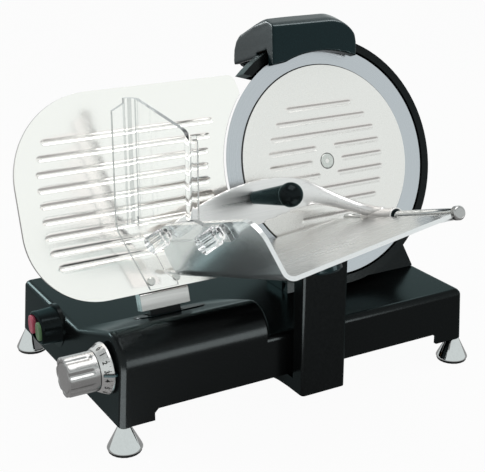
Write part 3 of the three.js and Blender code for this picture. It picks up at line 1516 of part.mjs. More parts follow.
function sharpenerHood() {
  const face = hoodOutline(0, hoodSkirtBottom);
  const skirtEnd = Math.acos((hoodRight - 4) / hoodSkirtRadius);
  face.absarc(0, 0, hoodSkirtRadius, skirtEnd,
    Math.PI - Math.asin(hoodSkirtBottom / hoodSkirtRadius) - 0.04, false);
  face.closePath();
  const profile = (inset) => {
    const front = hoodFront - inset * 4;
    const edge = hoodEdge - inset;
    const round = hoodBackRound - inset;
    const shape = new THREE.Shape();
    shape.moveTo(hoodSkirtBottom - 20, front);
    shape.lineTo(hoodTopRight + 1 - inset - edge, front);
    shape.absarc(hoodTopRight + 1 - inset - edge, front - edge, edge, Math.PI / 2, 0, true);
    shape.lineTo(hoodTopBack - inset, hoodBack + inset + round);
    shape.absarc(hoodTopBack - inset - round, hoodBack + inset + round, round, 0, -Math.PI / 2, true);
    shape.lineTo(inset > 0 ? hoodSkirtBottom - 20 : hoodSideBottom, hoodBack + inset);
    if (inset === 0) {
      shape.lineTo(hoodSideBottom, hoodSkirtBack);
      shape.lineTo(hoodSkirtBottom - 20, hoodSkirtBack);
    }
    shape.closePath();
    return shape;
  };
  const outer = meet(alongZ(face, hoodBack, hoodFront, 0, 14), alongX(profile(0), -90, 90, 0, 6));
  const inside = hoodOutline(hoodWall, hoodSkirtBottom - 20);
  const hollow = meet(alongZ(inside, hoodBack, hoodFront, 0, 10), alongX(profile(hoodWall), -90, 90, 0, 5));
  const ringPath = turnedZ(sleeve(ringFlangeInner - 6, ringOuter + 2, ringBack - 2, ringFront + 1.5), 48);
  const boss = meet(turnedY(stub(postRadius + 4, hoodSideBottom + 6, hoodTopRight), 20)
    .translate(0, 0, postZ), outer);
  const postSeat = turnedY(stub(postRadius + seatGap, 0, hoodTopBack - hoodWall), 20).translate(0, 0, postZ);
  const shaftHoles = stoneX.map((x) => {
    return turnedZ(stub(stoneShaftRadius + runGap, hoodBack - through, hoodBack + 20), 12)
      .translate(x, stoneY, 0);
  });
  return cut(join(cut(outer, hollow), boss), ringPath, postSeat, ...shaftHoles);
}

function sharpenerParts() {
  piece('sharpener_hood', sharpenerHood(), finishes.blackPlastic, bladeFrame);
  const post = turnedY(stub(postRadius, postBottom, hoodTopBack - hoodWall - seatGap), 20)
    .translate(0, 0, postZ);
  piece('sharpener_post', post, finishes.steel, bladeFrame);
  stoneX.forEach((x, i) => {
    const place = ['left', 'right'][i];
    const stone = sleeve(stoneShaftRadius + seatGap, stoneRadius, stoneFront - stoneThickness, stoneFront);
    piece(`grindstone_${place}`, turnedZ(stone, 22).translate(x, stoneY, 0), finishes.stone, bladeFrame);
    const capFront = hoodBack - stoneStroke - 1;
    const button = [
      [0, capFront - stoneButtonLength],
      [stoneButtonRadius - 2, capFront - stoneButtonLength],
      [stoneButtonRadius, capFront - stoneButtonLength + 2],
      [stoneButtonRadius, capFront],
      [stoneShaftRadius, capFront],
      [stoneShaftRadius, stoneFront + 2],
      [0, stoneFront + 2],
    ];
    piece(`stone_button_${place}`, turnedZ(button, 16).translate(x, stoneY, 0), finishes.blackPlastic,
      bladeFrame);
  });
}

baseParts();
switchParts();
knobParts();
gaugeParts();
bladeParts();
driveParts();
carriageParts();
trayParts();
pusherParts();
guardParts();
sharpenerParts();

// The origin is on the table, under the middle of the machine's outline.
const reach = new THREE.Box3().setFromObject(machine);
const middle = reach.getCenter(new THREE.Vector3());
machine.position.set(-middle.x, -middle.y, -reach.min.z);
const slicer = new THREE.Group();
slicer.add(machine);

export default slicer;
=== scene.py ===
"""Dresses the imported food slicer: paint, metal, clear plastic and small trim, in a pale studio."""

import json
import logging
import math
from dataclasses import dataclass
from enum import Enum, IntEnum
from typing import Callable, Optional, Sequence

import bmesh
import bpy
from mathutils import Matrix, Vector

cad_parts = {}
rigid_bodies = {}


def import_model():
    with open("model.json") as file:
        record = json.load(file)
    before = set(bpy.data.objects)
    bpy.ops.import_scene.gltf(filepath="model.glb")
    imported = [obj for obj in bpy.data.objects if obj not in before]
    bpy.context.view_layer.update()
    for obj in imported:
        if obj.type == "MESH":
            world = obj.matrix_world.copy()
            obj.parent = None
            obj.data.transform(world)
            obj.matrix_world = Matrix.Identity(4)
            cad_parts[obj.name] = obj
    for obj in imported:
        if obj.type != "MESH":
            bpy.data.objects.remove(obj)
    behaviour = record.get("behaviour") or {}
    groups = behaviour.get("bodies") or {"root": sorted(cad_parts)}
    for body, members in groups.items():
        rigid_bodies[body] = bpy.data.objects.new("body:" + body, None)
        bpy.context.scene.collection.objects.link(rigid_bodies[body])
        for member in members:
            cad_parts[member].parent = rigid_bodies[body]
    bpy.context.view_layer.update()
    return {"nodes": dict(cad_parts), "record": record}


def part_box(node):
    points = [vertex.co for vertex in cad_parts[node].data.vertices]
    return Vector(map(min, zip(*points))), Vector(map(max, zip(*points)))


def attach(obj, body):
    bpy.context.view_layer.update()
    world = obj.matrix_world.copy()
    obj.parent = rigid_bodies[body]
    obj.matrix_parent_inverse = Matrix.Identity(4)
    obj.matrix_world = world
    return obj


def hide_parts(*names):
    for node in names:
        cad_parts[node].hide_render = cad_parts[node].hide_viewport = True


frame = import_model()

log = logging.getLogger("slicer")

Colour = tuple[float, float, float]
Place = tuple[float, float, float]
Point = tuple[float, float]
Channel = tuple[float, float, float]
Rule = Callable[[float], float]
Ring = Rule | float

# The classes' lengths are in millimetres. An angle that tells sharp edges from smooth ones is in
# degrees, and any other in radians. The studio's lengths are in metres.
MM = 0.001
QUARTER = math.pi / 2

# Metres within which points of a made mesh, or of a copied solid, count as one.
MADE_WELD = 1e-8
SOLID_WELD = 2e-6
# Degrees past which an edge of a made mesh stays sharp.
SHARP_ANGLE = 30.0
# The most of a side that the round of one corner takes.
ROUND_SHARE = 0.45
# A smaller radius in millimetres is a point on the axis.
AXIS_GAP = 1e-6
# How strongly large faces rule the shading of the edges beside them.
EVEN_WEIGHT = 60
# The part of the noise's range that the tones and the gloss are spread over.
NOISE_SPAN = (0.3, 0.7)
NOISE_DETAIL = 4.0
LEAST_ROUGHNESS = 0.01
BRUSH_STRETCH = (0.02, 1.0, 1.0)

END_DRAFT = 3.5
BASE_CORNER: Vector = Vector(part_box("base_casting")[0]) + Vector((END_DRAFT * MM, 0.0, 0.0))
BLADE_CENTRE = Vector((0.2994, 0.1093, 0.1936))
BLADE_LEAN = math.radians(17.85)
TRAY_ORIGIN = Vector((-0.0800, -0.0712, 0.0))
TRAY_ROLL = math.radians(5.47)
WALL_ORIGIN = Vector((-0.140297, 0.005417, 0.0))
WALL_ROLL = math.radians(16.0)


def rolled(matrix: Matrix, origin: Vector, angle: float, axis: str) -> Matrix:
    """Returns a frame moved to an origin in metres and turned about one of its axes."""
    return matrix @ Matrix.Translation(origin) @ Matrix.Rotation(angle, 4, axis)


MACHINE: Matrix = Matrix.Translation(BASE_CORNER)
BLADE: Matrix = rolled(MACHINE, BLADE_CENTRE, QUARTER - BLADE_LEAN, "X")
TRAY: Matrix = rolled(BLADE, TRAY_ORIGIN, TRAY_ROLL, "Z")
WALL: Matrix = rolled(TRAY, WALL_ORIGIN, WALL_ROLL, "Z")

BODY_OF: dict[str, str] = {
    node: body for body, nodes in frame["record"]["behaviour"]["bodies"].items() for node in nodes
}


def at(matrix: Matrix, x: float, y: float, z: float) -> Matrix:
    """Returns a frame moved by millimetres along its own axes."""
    return matrix @ Matrix.Translation(Vector((x, y, z)) * MM)


def outwards(x: float, y: float, z: float, matrix: Matrix = MACHINE) -> Matrix:
    """Returns a frame at a point in millimetres, with Z along -X and X along Z."""
    return at(matrix, x, y, z) @ Matrix.Rotation(-QUARTER, 4, "Y")


class Grain(Enum):
    """How a surface was worked."""

    FINE = "an even speckle"
    BRUSHED = "long lines along the home frame's X axis"
    TURNED = "rings round the home frame's Z axis"


class Home(Enum):
    """The frame that a finish's grain lies in."""

    MACHINE = "the base"
    BLADE = "the leaning blade"
    TRAY = "the tray's floor"
    WALL = "the tray's side wall"

    def matrix(self) -> Matrix:
        """Returns the frame."""
        return {Home.MACHINE: MACHINE, Home.BLADE: BLADE, Home.TRAY: TRAY, Home.WALL: WALL}[self]


class NodeTree:
    """A short way to write nodes."""

    def __init__(self, tree: bpy.types.NodeTree) -> None:
        """Takes over a tree and empties it."""
        self.tree = tree
        self.tree.nodes.clear()

    def add(self, kind: str, values: Optional[dict[str | int, object]] = None,
            **settings: object) -> bpy.types.Node:
        """Adds a node.

        Args:
            kind: the node's Blender type.
            values: its inputs' own values, by socket.
            settings: attributes to set on it.

        Returns:
            The new node.
        """
        node = self.tree.nodes.new(kind)
        for name, setting in settings.items():
            setattr(node, name, setting)
        for socket, value in (values or {}).items():
            node.inputs[socket].default_value = value
        return node

    def join(self, source: bpy.types.Node, output: str | int, target: bpy.types.Node,
             entry: str | int) -> None:
        """Links an output of one node to an input of another."""
        self.tree.links.new(source.outputs[output], target.inputs[entry])

    def surface(self, shader: bpy.types.Node, kind: str = "ShaderNodeOutputMaterial") -> None:
        """Sends a shader to the surface of an output of a kind."""
        self.join(shader, 0, self.add(kind), "Surface")


@dataclass(frozen=True)
class Finish:
    """A principled shader whose colour, gloss and relief vary with the way it was worked."""

    name: str
    slot: str
    colour: Colour
    metallic: float = 0.0
    roughness: float = 0.4
    specular: float = 0.5
    sheen: Colour = (1.0, 1.0, 1.0)
    transmission: float = 0.0
    ior: float = 1.5
    coat: float = 0.0
    grain: Grain = Grain.FINE
    grain_scale: float = 900.0
    tone: float = 0.08
    gloss: float = 0.04
    relief: float = 0.0
    home: Home = Home.MACHINE

    def material(self) -> bpy.types.Material:
        """Makes the finish's material on its first use.

        Returns:
            The material.
        """
        known = bpy.data.materials.get(self.name)
        if known:
            return known
        made = bpy.data.materials.new(self.name)
        made.use_nodes = True
        nodes = NodeTree(made.node_tree)
        shader = nodes.add("ShaderNodeBsdfPrincipled", {
            "Metallic": self.metallic,
            "Specular IOR Level": self.specular,
            "Specular Tint": (*self.sheen, 1.0),
            "Transmission Weight": self.transmission,
            "IOR": self.ior,
            "Coat Weight": self.coat,
        })
        noise = self.pattern(nodes)
        tones = nodes.add("ShaderNodeValToRGB")
        shares = (1.0 - self.tone, 1.0 + self.tone)
        for element, place, share in zip(tones.color_ramp.elements, NOISE_SPAN, shares):
            element.position = place
            element.color = (*(min(c * share, 1.0) for c in self.colour), 1.0)
        nodes.join(noise, "Fac", tones, "Fac")
        nodes.join(tones, "Color", shader, "Base Color")
        spread = nodes.add("ShaderNodeMapRange", {
            "From Min": NOISE_SPAN[0],
            "From Max": NOISE_SPAN[1],
            "To Min": max(self.roughness - self.gloss, LEAST_ROUGHNESS),
            "To Max": self.roughness + self.gloss,
        })
        nodes.join(noise, "Fac", spread, "Value")
        nodes.join(spread, "Result", shader, "Roughness")
        if self.relief:
            bump = nodes.add("ShaderNodeBump", {"Strength": 1.0, "Distance": self.relief})
            nodes.join(noise, "Fac", bump, "Height")
            nodes.join(bump, "Normal", shader, "Normal")
        nodes.surface(shader)
        return made

    def pattern(self, nodes: NodeTree) -> bpy.types.Node:
        """Adds the noise that the finish varies with.

        Args:
            nodes: the material's tree.

        Returns:
            The noise node.
        """
        home = self.home.matrix().inverted()
        place = nodes.add("ShaderNodeTexCoord")
        local = nodes.add("ShaderNodeMapping", {
            "Location": home.translation, "Rotation": home.to_euler(),
        })
        nodes.join(place, "Object", local, "Vector")
        noise = nodes.add("ShaderNodeTexNoise", {
            "Scale": self.grain_scale, "Detail": NOISE_DETAIL,
        })
        if self.grain is Grain.TURNED:
            split = nodes.add("ShaderNodeSeparateXYZ")
            flat = nodes.add("ShaderNodeCombineXYZ")
            reach = nodes.add("ShaderNodeVectorMath", operation="LENGTH")
            ring = nodes.add("ShaderNodeCombineXYZ")
            nodes.join(local, "Vector", split, 0)
            nodes.join(split, "X", flat, "X")
            nodes.join(split, "Y", flat, "Y")
            nodes.join(flat, 0, reach, 0)
            nodes.join(reach, "Value", ring, "X")
            nodes.join(ring, 0, noise, "Vector")
        elif self.grain is Grain.BRUSHED:
            stretch = nodes.add("ShaderNodeMapping", {"Scale": BRUSH_STRETCH})
            nodes.join(local, "Vector", stretch, "Vector")
            nodes.join(stretch, "Vector", noise, "Vector")
        else:
            nodes.join(local, "Vector", noise, "Vector")
        return noise


GLOSS_BLACK = Finish(
    "gloss_black_paint", "black_paint", (0.0112, 0.0126, 0.0128), metallic=0.8, roughness=0.21,
    specular=0.13, sheen=(0.555, 0.635, 0.64), grain_scale=700.0, tone=0.2, gloss=0.02,
    relief=1e-6)
BLACK_MOULDING = Finish(
    "black_moulding", "black_plastic", (0.0018, 0.0056, 0.0064), roughness=0.24, specular=0.16,
    sheen=(0.72, 0.95, 1.0), grain_scale=1400.0, tone=0.2, gloss=0.03, relief=2e-6)
DEEP_BLACK = Finish(
    "deep_black_moulding", "black_plastic", (0.0100, 0.0126, 0.0132), metallic=0.8, roughness=0.2,
    specular=0.13, sheen=(0.50, 0.60, 0.61), grain_scale=1400.0, tone=0.2, gloss=0.03,
    relief=2e-6)
SATIN_SILVER = Finish(
    "satin_silver", "satin_aluminium", (0.985, 0.955, 0.915), metallic=0.92, roughness=0.18,
    grain_scale=1500.0, tone=0.015, gloss=0.05, home=Home.BLADE)
COVER_SILVER = Finish(
    "cover_silver", "satin_aluminium", (0.83, 0.805, 0.775), metallic=0.92, roughness=0.30,
    grain_scale=1500.0, tone=0.02, gloss=0.05, home=Home.BLADE)
# Painted shade: a darker copy of the gauge plate's satin metal for its cut edge.
RIM_SHADE_SILVER = Finish(
    "rim_silver_painted_shade", "satin_aluminium", (0.50, 0.49, 0.475), metallic=0.92, roughness=0.34,
    grain_scale=1500.0, tone=0.03, gloss=0.05)
DIAL_SILVER = Finish(
    "dial_silver", "satin_aluminium", (0.64, 0.63, 0.62), metallic=1.0, roughness=0.30,
    grain_scale=1800.0, tone=0.04, gloss=0.06)
KNOB_SILVER = Finish(
    "knob_silver", "satin_aluminium", (0.42, 0.415, 0.41), metallic=1.0, roughness=0.24,
    grain_scale=1800.0, tone=0.06, gloss=0.06)
BRUSHED_SILVER = Finish(
    "brushed_silver", "brushed_aluminium", (0.70, 0.70, 0.69), metallic=1.0, roughness=0.24,
    grain=Grain.BRUSHED, grain_scale=420.0, tone=0.12, gloss=0.08, relief=3e-6, home=Home.TRAY)
# Smooth rolled metal, tinted and lightened to paint in the teal reflection of the deck.
ROLLED_SILVER_AND_REFLECTION = Finish(
    "rolled_silver_and_painted_reflection", "brushed_aluminium", (0.74, 0.81, 0.81), metallic=0.84, roughness=0.19,
    grain_scale=260.0, tone=0.03, gloss=0.03, home=Home.WALL)
# Painted highlight: a brighter copy of the tray's metal for its cut edges.
EDGE_HIGHLIGHT_SILVER = Finish(
    "edge_silver_painted_highlight", "brushed_aluminium", (0.80, 0.80, 0.80), metallic=0.9, roughness=0.30,
    grain_scale=1500.0, tone=0.02, gloss=0.04)
CAST_SILVER = Finish(
    "cast_silver", "brushed_aluminium", (0.76, 0.74, 0.73), metallic=1.0, roughness=0.32,
    grain=Grain.BRUSHED, grain_scale=500.0, tone=0.04, gloss=0.05, relief=1e-6, home=Home.BLADE)
GROUND_STEEL = Finish(
    "ground_steel", "blade_steel", (0.50, 0.52, 0.545), metallic=1.0, roughness=0.27,
    grain=Grain.TURNED, grain_scale=2600.0, tone=0.05, gloss=0.05, home=Home.BLADE)
BRIGHT_CHROME = Finish(
    "bright_chrome", "chrome", (0.60, 0.61, 0.605), metallic=1.0, roughness=0.07,
    grain_scale=500.0, tone=0.03, gloss=0.02)
# Its strong, coarse tone is partly wear and partly painted reflection: the mottle of a slightly wavy
# face.
BRACKET_CHROME = Finish(
    "bracket_chrome", "chrome", (0.40, 0.39, 0.38), metallic=1.0, roughness=0.16,
    grain=Grain.BRUSHED, grain_scale=75.0, tone=0.5, gloss=0.05, home=Home.BLADE)
TURNED_STEEL = Finish(
    "turned_steel", "machined_steel", (0.52, 0.53, 0.54), metallic=1.0, roughness=0.3,
    grain_scale=1200.0, tone=0.1, gloss=0.08)
# Painted shade: the gauge slide's steel darkened as if lying in the slot's shadow.
SLIDE_SHADE_STEEL = Finish(
    "slide_steel_painted_shade", "machined_steel", (0.012, 0.014, 0.015), metallic=0.4, roughness=0.4,
    grain_scale=1200.0, tone=0.2, gloss=0.08)
SCREW_STEEL = Finish(
    "screw_steel", "machined_steel", (0.60, 0.61, 0.58), metallic=1.0, roughness=0.28,
    grain_scale=1600.0, tone=0.08, gloss=0.06)
BUSH_BRONZE = Finish(
    "bush_bronze", "bronze", (0.55, 0.36, 0.16), metallic=1.0, roughness=0.35,
    grain_scale=1200.0, tone=0.12, gloss=0.06)
BLACK_RUBBER = Finish(
    "black_rubber", "rubber", (0.010, 0.011, 0.011), roughness=0.7, specular=0.3,
    grain_scale=1600.0, tone=0.25, gloss=0.08, relief=3e-5)
RED_MOULDING = Finish(
    "red_moulding", "red_plastic", (0.72, 0.13, 0.20), roughness=0.32, grain_scale=1500.0,
    tone=0.08, relief=3e-6)
GREEN_MOULDING = Finish(
    "green_moulding", "green_plastic", (0.15, 0.30, 0.13), roughness=0.32, grain_scale=1500.0,
    tone=0.08, relief=3e-6)
BROWN_GRIT = Finish(
    "brown_grit", "abrasive", (0.16, 0.075, 0.03), roughness=0.95, specular=0.1,
    grain_scale=1800.0, tone=0.4, relief=2e-4)
CLEAR_SHEET = Finish(
    "clear_sheet", "clear_plastic", (0.985, 0.99, 0.99), roughness=0.02, ior=1.12, coat=1.0,
    transmission=1.0, grain_scale=400.0, tone=0.003, gloss=0.01)
# Painted light on the clear guard: grey edges and bends stand in for reflections, dark lines for
# shade.
CLEAR_EDGE_GLINT = Finish(
    "clear_edge_painted_reflection", "clear_plastic", (0.46, 0.49, 0.49), roughness=0.3, ior=1.12, coat=1.0,
    transmission=0.5, grain_scale=400.0, tone=0.02, gloss=0.05)
CLEAR_SHADE_LINE = Finish(
    "clear_line_painted_shade", "clear_plastic", (0.10, 0.12, 0.12), roughness=0.2, ior=1.12, coat=1.0,
    transmission=0.15, grain_scale=400.0, tone=0.05, gloss=0.05)
CLEAR_BEND_GLINT = Finish(
    "clear_bend_painted_reflection", "clear_plastic", (0.60, 0.63, 0.63), roughness=0.06, ior=1.12, coat=1.0,
    transmission=0.85, grain_scale=400.0, tone=0.02, gloss=0.02)
CLEAR_MOULDING = Finish(
    "clear_moulding", "clear_plastic", (0.99, 0.995, 0.995), roughness=0.02, ior=1.3,
    transmission=1.0, grain_scale=400.0, tone=0.003, gloss=0.01)
# Painted highlight: the white of a glint at one flute's end on the thickness knob.
WHITE_HIGHLIGHT = Finish(
    "white_painted_highlight", "satin_aluminium", (0.85, 0.85, 0.84), roughness=0.45, tone=0.02)
# Black for the dial's printed marks, and painted shade in the gaps round the blade cover and its
# screw.
BLACK_PRINT_AND_SHADE = Finish(
    "black_print_and_painted_shade", "black_plastic", (0.008, 0.008, 0.008), roughness=0.5, specular=0.2, tone=0.2)

# The finishes that the lamps for the black pieces light.
LAMP_BLACKS = (GLOSS_BLACK.name, BLACK_MOULDING.name)
SLOT_FINISHES: dict[str, Finish] = {
    finish.slot: finish
    for finish in (
        GLOSS_BLACK, BLACK_MOULDING, SATIN_SILVER, BRUSHED_SILVER, GROUND_STEEL, BRIGHT_CHROME,
        TURNED_STEEL, BUSH_BRONZE, BLACK_RUBBER, CLEAR_MOULDING, RED_MOULDING, GREEN_MOULDING,
        BROWN_GRIT,
    )
}
# The gauge slide takes a darkened steel as painted shade.
OWN_FINISHES: dict[str, Finish] = {
    "gauge_screw_1": SCREW_STEEL, "gauge_screw_2": SCREW_STEEL, "gauge_slide": SLIDE_SHADE_STEEL,
    "gauge_bracket": BRACKET_CHROME,
}
# Width in millimetres and facets of the broken edges of nodes that differ from the rest.
EDGES: dict[str, tuple[float, int]] = {
    "base_casting": (0.0, 1), "carriage_arm": (1.2, 3), "blade_support": (1.4, 3),
    "ring_guard": (1.2, 3), "motor_cover": (0.0, 1), "gauge_bracket": (1.6, 4),
}
# Nodes whose shape a class below draws again.
OWN_SHAPES = (
    "gauge_plate", "blade", "blade_cover", "cover_screw", "thickness_dial", "thickness_knob",
    "start_button", "stop_button", "switch_housing", "tray", "sharpener_hood", "pusher_rod",
    "rod_cap", "pusher_bush", "pusher_arm", "pusher_handle", "hand_guard", "guard_knob_front",
    "guard_knob_rear", "foot_front_left", "foot_front_right", "foot_rear_left", "foot_rear_right",
)


def put(piece_name: str, mesh: bpy.types.Mesh, finish: Finish, body: str,
        node: Optional[str] = None, shadow: bool = True) -> bpy.types.Object:
    """Puts a finished mesh in the scene.

    Args:
        piece_name: the new object's name.
        mesh: the mesh, already in the model's frame.
        finish: its finish.
        body: the body it moves with.
        node: the solid it stands for, if any.
        shadow: whether it throws a shadow.

    Returns:
        The new object.
    """
    mesh.materials.clear()
    mesh.materials.append(finish.material())
    piece = bpy.data.objects.new(piece_name, mesh)
    bpy.context.scene.collection.objects.link(piece)
    piece.visible_shadow = shadow
    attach(piece, body)
    if node:
        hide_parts(node)
    log.info("%s: %d faces", piece.name, len(mesh.polygons))
    return piece


def stand_in(node: str, mesh: bpy.types.Mesh, finish: Finish,
             shadow: bool = True) -> bpy.types.Object:
    """Puts a mesh in the scene in a node's stead, on the node's own body."""
    return put(f"{node}_look", mesh, finish, BODY_OF[node], node, shadow)


def refinish(piece: bpy.types.Object, finishes: Sequence[Finish], kinds: Sequence[int]) -> None:
    """Gives some of a piece's faces further finishes.

    Args:
        piece: the piece, in its first finish.
        finishes: the further finishes.
        kinds: for each face, its finish's place among all of them, the first one included.
    """
    for finish in finishes:
        piece.data.materials.append(finish.material())
    piece.data.polygons.foreach_set("material_index", kinds)


def smooth(mesh: bpy.types.Mesh, angle: float) -> None:
    """Shades a mesh smooth up to an angle in degrees."""
    mesh.shade_smooth()
    mesh.set_sharp_from_angle(angle=math.radians(angle))


def mesh_from(name: str, points: Sequence[Sequence[float]], faces: Sequence[Sequence[int]],
              matrix: Matrix, closed: bool = True, angle: float = SHARP_ANGLE) -> bpy.types.Mesh:
    """Makes a mesh from points in millimetres of a frame.

    Args:
        name: the mesh's name.
        points: its points.
        faces: its faces.
        matrix: the frame.
        closed: whether it is a closed form, whose faces are then turned outwards.
        angle: edges past this many degrees stay sharp.

    Returns:
        The mesh.
    """
    mesh = bpy.data.meshes.new(name)
    mesh.from_pydata([matrix @ (Vector(p) * MM) for p in points], [], faces)
    if closed:
        form = bmesh.new()
        form.from_mesh(mesh)
        bmesh.ops.remove_doubles(form, verts=form.verts, dist=MADE_WELD)
        bmesh.ops.recalc_face_normals(form, faces=form.faces)
        form.to_mesh(mesh)
        form.free()
    smooth(mesh, angle)
    return mesh


def joined(name: str, meshes: Sequence[bpy.types.Mesh]) -> bpy.types.Mesh:
    """Joins meshes that keep their own surfaces.

    Args:
        name: the new mesh's name.
        meshes: the meshes.

    Returns:
        One mesh with all their faces.
    """
    form = bmesh.new()
    for mesh in meshes:
        form.from_mesh(mesh)
    whole = bpy.data.meshes.new(name)
    form.to_mesh(whole)
    form.free()
    smooth(whole, SHARP_ANGLE)
    return whole


def eased(profile: Sequence[Point], radius: float, closed: bool = False,
          steps: int = 4) -> list[Point]:
    """Rounds a profile's corners.

    Args:
        profile: points in order.
        radius: how far from a corner its round starts, at most.
        closed: whether the last point joins the first.
        steps: facets in each round.

    Returns:
        The rounded profile.
    """
    count = len(profile)
    rounded: list[Point] = []
    for i, corner in enumerate(profile):
        if not closed and i in (0, count - 1):
            rounded.append(corner)
            continue
        middle = Vector(corner)
        back = Vector(profile[i - 1]) - middle
        ahead = Vector(profile[(i + 1) % count]) - middle
        cut = min(radius, ROUND_SHARE * back.length, ROUND_SHARE * ahead.length)
        start, end = middle + back.normalized() * cut, middle + ahead.normalized() * cut
        for k in range(steps + 1):
            t = k / steps
            rounded.append(tuple(start * (1 - t) ** 2 + middle * 2 * t * (1 - t) + end * t ** 2))
    return rounded


def tube(inner: float, outer: float, back: float, front: float) -> list[Point]:
    """Returns the profile of a plain tube, or of a rod where its inner radius is 0."""
    return [(inner, back), (outer, back), (outer, front), (inner, front)]


def spaced(count: int, pitch: float) -> list[float]:
    """Returns heights at an even pitch about zero."""
    return [(k - (count - 1) / 2) * pitch for k in range(count)]


def ring_faces(rows: int, around: int, closed: bool = False) -> list[Sequence[int]]:
    """Joins rows of points, each a ring, with four-sided faces.

    Args:
        rows: how many rings there are.
        around: points in each ring.
        closed: whether the last ring joins the first.

    Returns:
        The faces.
    """
    faces: list[Sequence[int]] = []
    for row in range(rows if closed else rows - 1):
        low, high = row * around, (row + 1) % rows * around
        for k in range(around):
            n = (k + 1) % around
            faces.append((low + k, low + n, high + n, high + k))
    return faces


def turned(name: str, rings: Sequence[Ring], heights: Sequence[float], matrix: Matrix,
           segments: int, closed: bool = False, angle: float = SHARP_ANGLE) -> bpy.types.Mesh:
    """Turns rings about a frame's Z axis.

    Args:
        name: the mesh's name.
        rings: each ring's radius in millimetres, 0 for a point, or a rule from turn to radius.
        heights: each ring's height.
        matrix: the frame.
        segments: facets round the axis.
        closed: whether the last ring joins the first.
        angle: edges past this many degrees stay sharp.

    Returns:
        The mesh.
    """
    points: list[Sequence[float]] = []
    loops: list[list[int]] = []
    for ring, height in zip(rings, heights):
        if not callable(ring) and ring < AXIS_GAP:
            loops.append([len(points)])
            points.append((0.0, 0.0, height))
            continue
        loop = []
        for k in range(segments):
            turn = 2 * math.pi * k / segments
            reach = ring(turn) if callable(ring) else ring
            loop.append(len(points))
            points.append((reach * math.cos(turn), reach * math.sin(turn), height))
        loops.append(loop)
    faces: list[list[int]] = []
    pairs = list(zip(loops, loops[1:])) + ([(loops[-1], loops[0])] if closed else [])
    for low, high in pairs:
        for k in range(segments):
            n = (k + 1) % segments
            face = [low[0]] if len(low) == 1 else [low[k], low[n]]
            face += [high[0]] if len(high) == 1 else [high[n], high[k]]
            if len(face) > 2:
                faces.append(face)
    return mesh_from(name, points, faces, matrix, angle=angle)


def lathe(name: str, profile: Sequence[Point], matrix: Matrix, segments: int = 96,
          closed: bool = False, angle: float = SHARP_ANGLE) -> bpy.types.Mesh:
    """Turns a profile of radius and height pairs about a frame's Z axis."""
    radii, heights = zip(*profile)
    return turned(name, radii, heights, matrix, segments, closed, angle)


def fluted(radius: float, depth: float, count: int, phase: float = 0.0,
           width: float = 1.0) -> Rule:
    """Gives a scalloped ring.

    Args:
        radius: the ring's radius between its flutes.
        depth: how deep the flutes are.
        count: how many there are.
        phase: the first flute's angle.
        width: a flute's share of its pitch.

    Returns:
        The rule from turn to radius.
    """
    def rule(turn: float) -> float:
        """Gives the ring's radius.

        Args:
            turn: the angle round the axis.

        Returns:
            The radius there.
        """
        off = ((turn - phase) * count / (2 * math.pi) + 0.5) % 1.0 - 0.5
        share = abs(off) / (0.5 * width)
        return radius - (depth * (0.5 + 0.5 * math.cos(math.pi * share)) if share < 1 else 0.0)

    return rule


def evaluated(data: bpy.types.ID,
              modifiers: Optional[Callable[[bpy.types.Object], None]] = None) -> bpy.types.Mesh:
    """Makes a plain mesh of a mesh or a curve.

    Args:
        data: the mesh or the curve.
        modifiers: adds modifiers to the object that carries it.

    Returns:
        The plain mesh that they give.
    """
    carrier = bpy.data.objects.new("carrier", data)
    bpy.context.scene.collection.objects.link(carrier)
    if modifiers:
        modifiers(carrier)
    graph = bpy.context.evaluated_depsgraph_get()
    result = bpy.data.meshes.new_from_object(carrier.evaluated_get(graph))
    bpy.data.objects.remove(carrier)
    return result


def add_bevel(carrier: bpy.types.Object, width: float, segments: int,
              angle: float) -> bpy.types.BevelModifier:
    """Adds a bevel of sharp edges.

    Args:
        carrier: the object.
        width: the bevel's width in millimetres.
        segments: facets across it.
        angle: the angle in degrees past which an edge counts as sharp.

    Returns:
        The modifier.
    """
    bevel = carrier.modifiers.new("edge", "BEVEL")
    bevel.width = width * MM
    bevel.segments = segments
    bevel.limit_method = "ANGLE"
    bevel.angle_limit = math.radians(angle)
    return bevel


def add_skin(carrier: bpy.types.Object, voxel: float) -> None:
    """Adds a cover of even mesh.

    Args:
        carrier: the object.
        voxel: the mesh's size in millimetres.
    """
    skin = carrier.modifiers.new("skin", "REMESH")
    skin.mode = "VOXEL"
    skin.voxel_size = voxel * MM
    skin.use_smooth_shade = True


def add_ease(carrier: bpy.types.Object, passes: int) -> None:
    """Adds an easing of all edges.

    Args:
        carrier: the object.
        passes: how often its points are evened out.
    """
    ease = carrier.modifiers.new("ease", "SMOOTH")
    ease.factor = 0.5
    ease.iterations = passes


def softened(mesh: bpy.types.Mesh, width: float, segments: int = 3, angle: float = 32.0,
             trim: int = -1) -> bpy.types.Mesh:
    """Breaks a mesh's sharp edges and evens its shading.

    Args:
        mesh: the mesh, with its doubles merged.
        width: the broken edge's width in millimetres, or 0 for none.
        segments: facets across a broken edge.
        angle: the angle in degrees past which an edge counts as sharp.
        trim: the broken edges' place among the mesh's finishes, or -1 for that of their faces.

    Returns:
        The softened mesh.
    """
    smooth(mesh, angle)

    def add(carrier: bpy.types.Object) -> None:
        """Adds the broken edges and the even shading.

        Args:
            carrier: the object that carries the mesh.
        """
        if width > 0:
            bevel = add_bevel(carrier, width, segments, angle)
            bevel.miter_outer = "MITER_ARC"
            bevel.material = trim
        even = carrier.modifiers.new("even", "WEIGHTED_NORMAL")
        even.keep_sharp = width <= 0
        even.weight = EVEN_WEIGHT

    return evaluated(mesh, add)


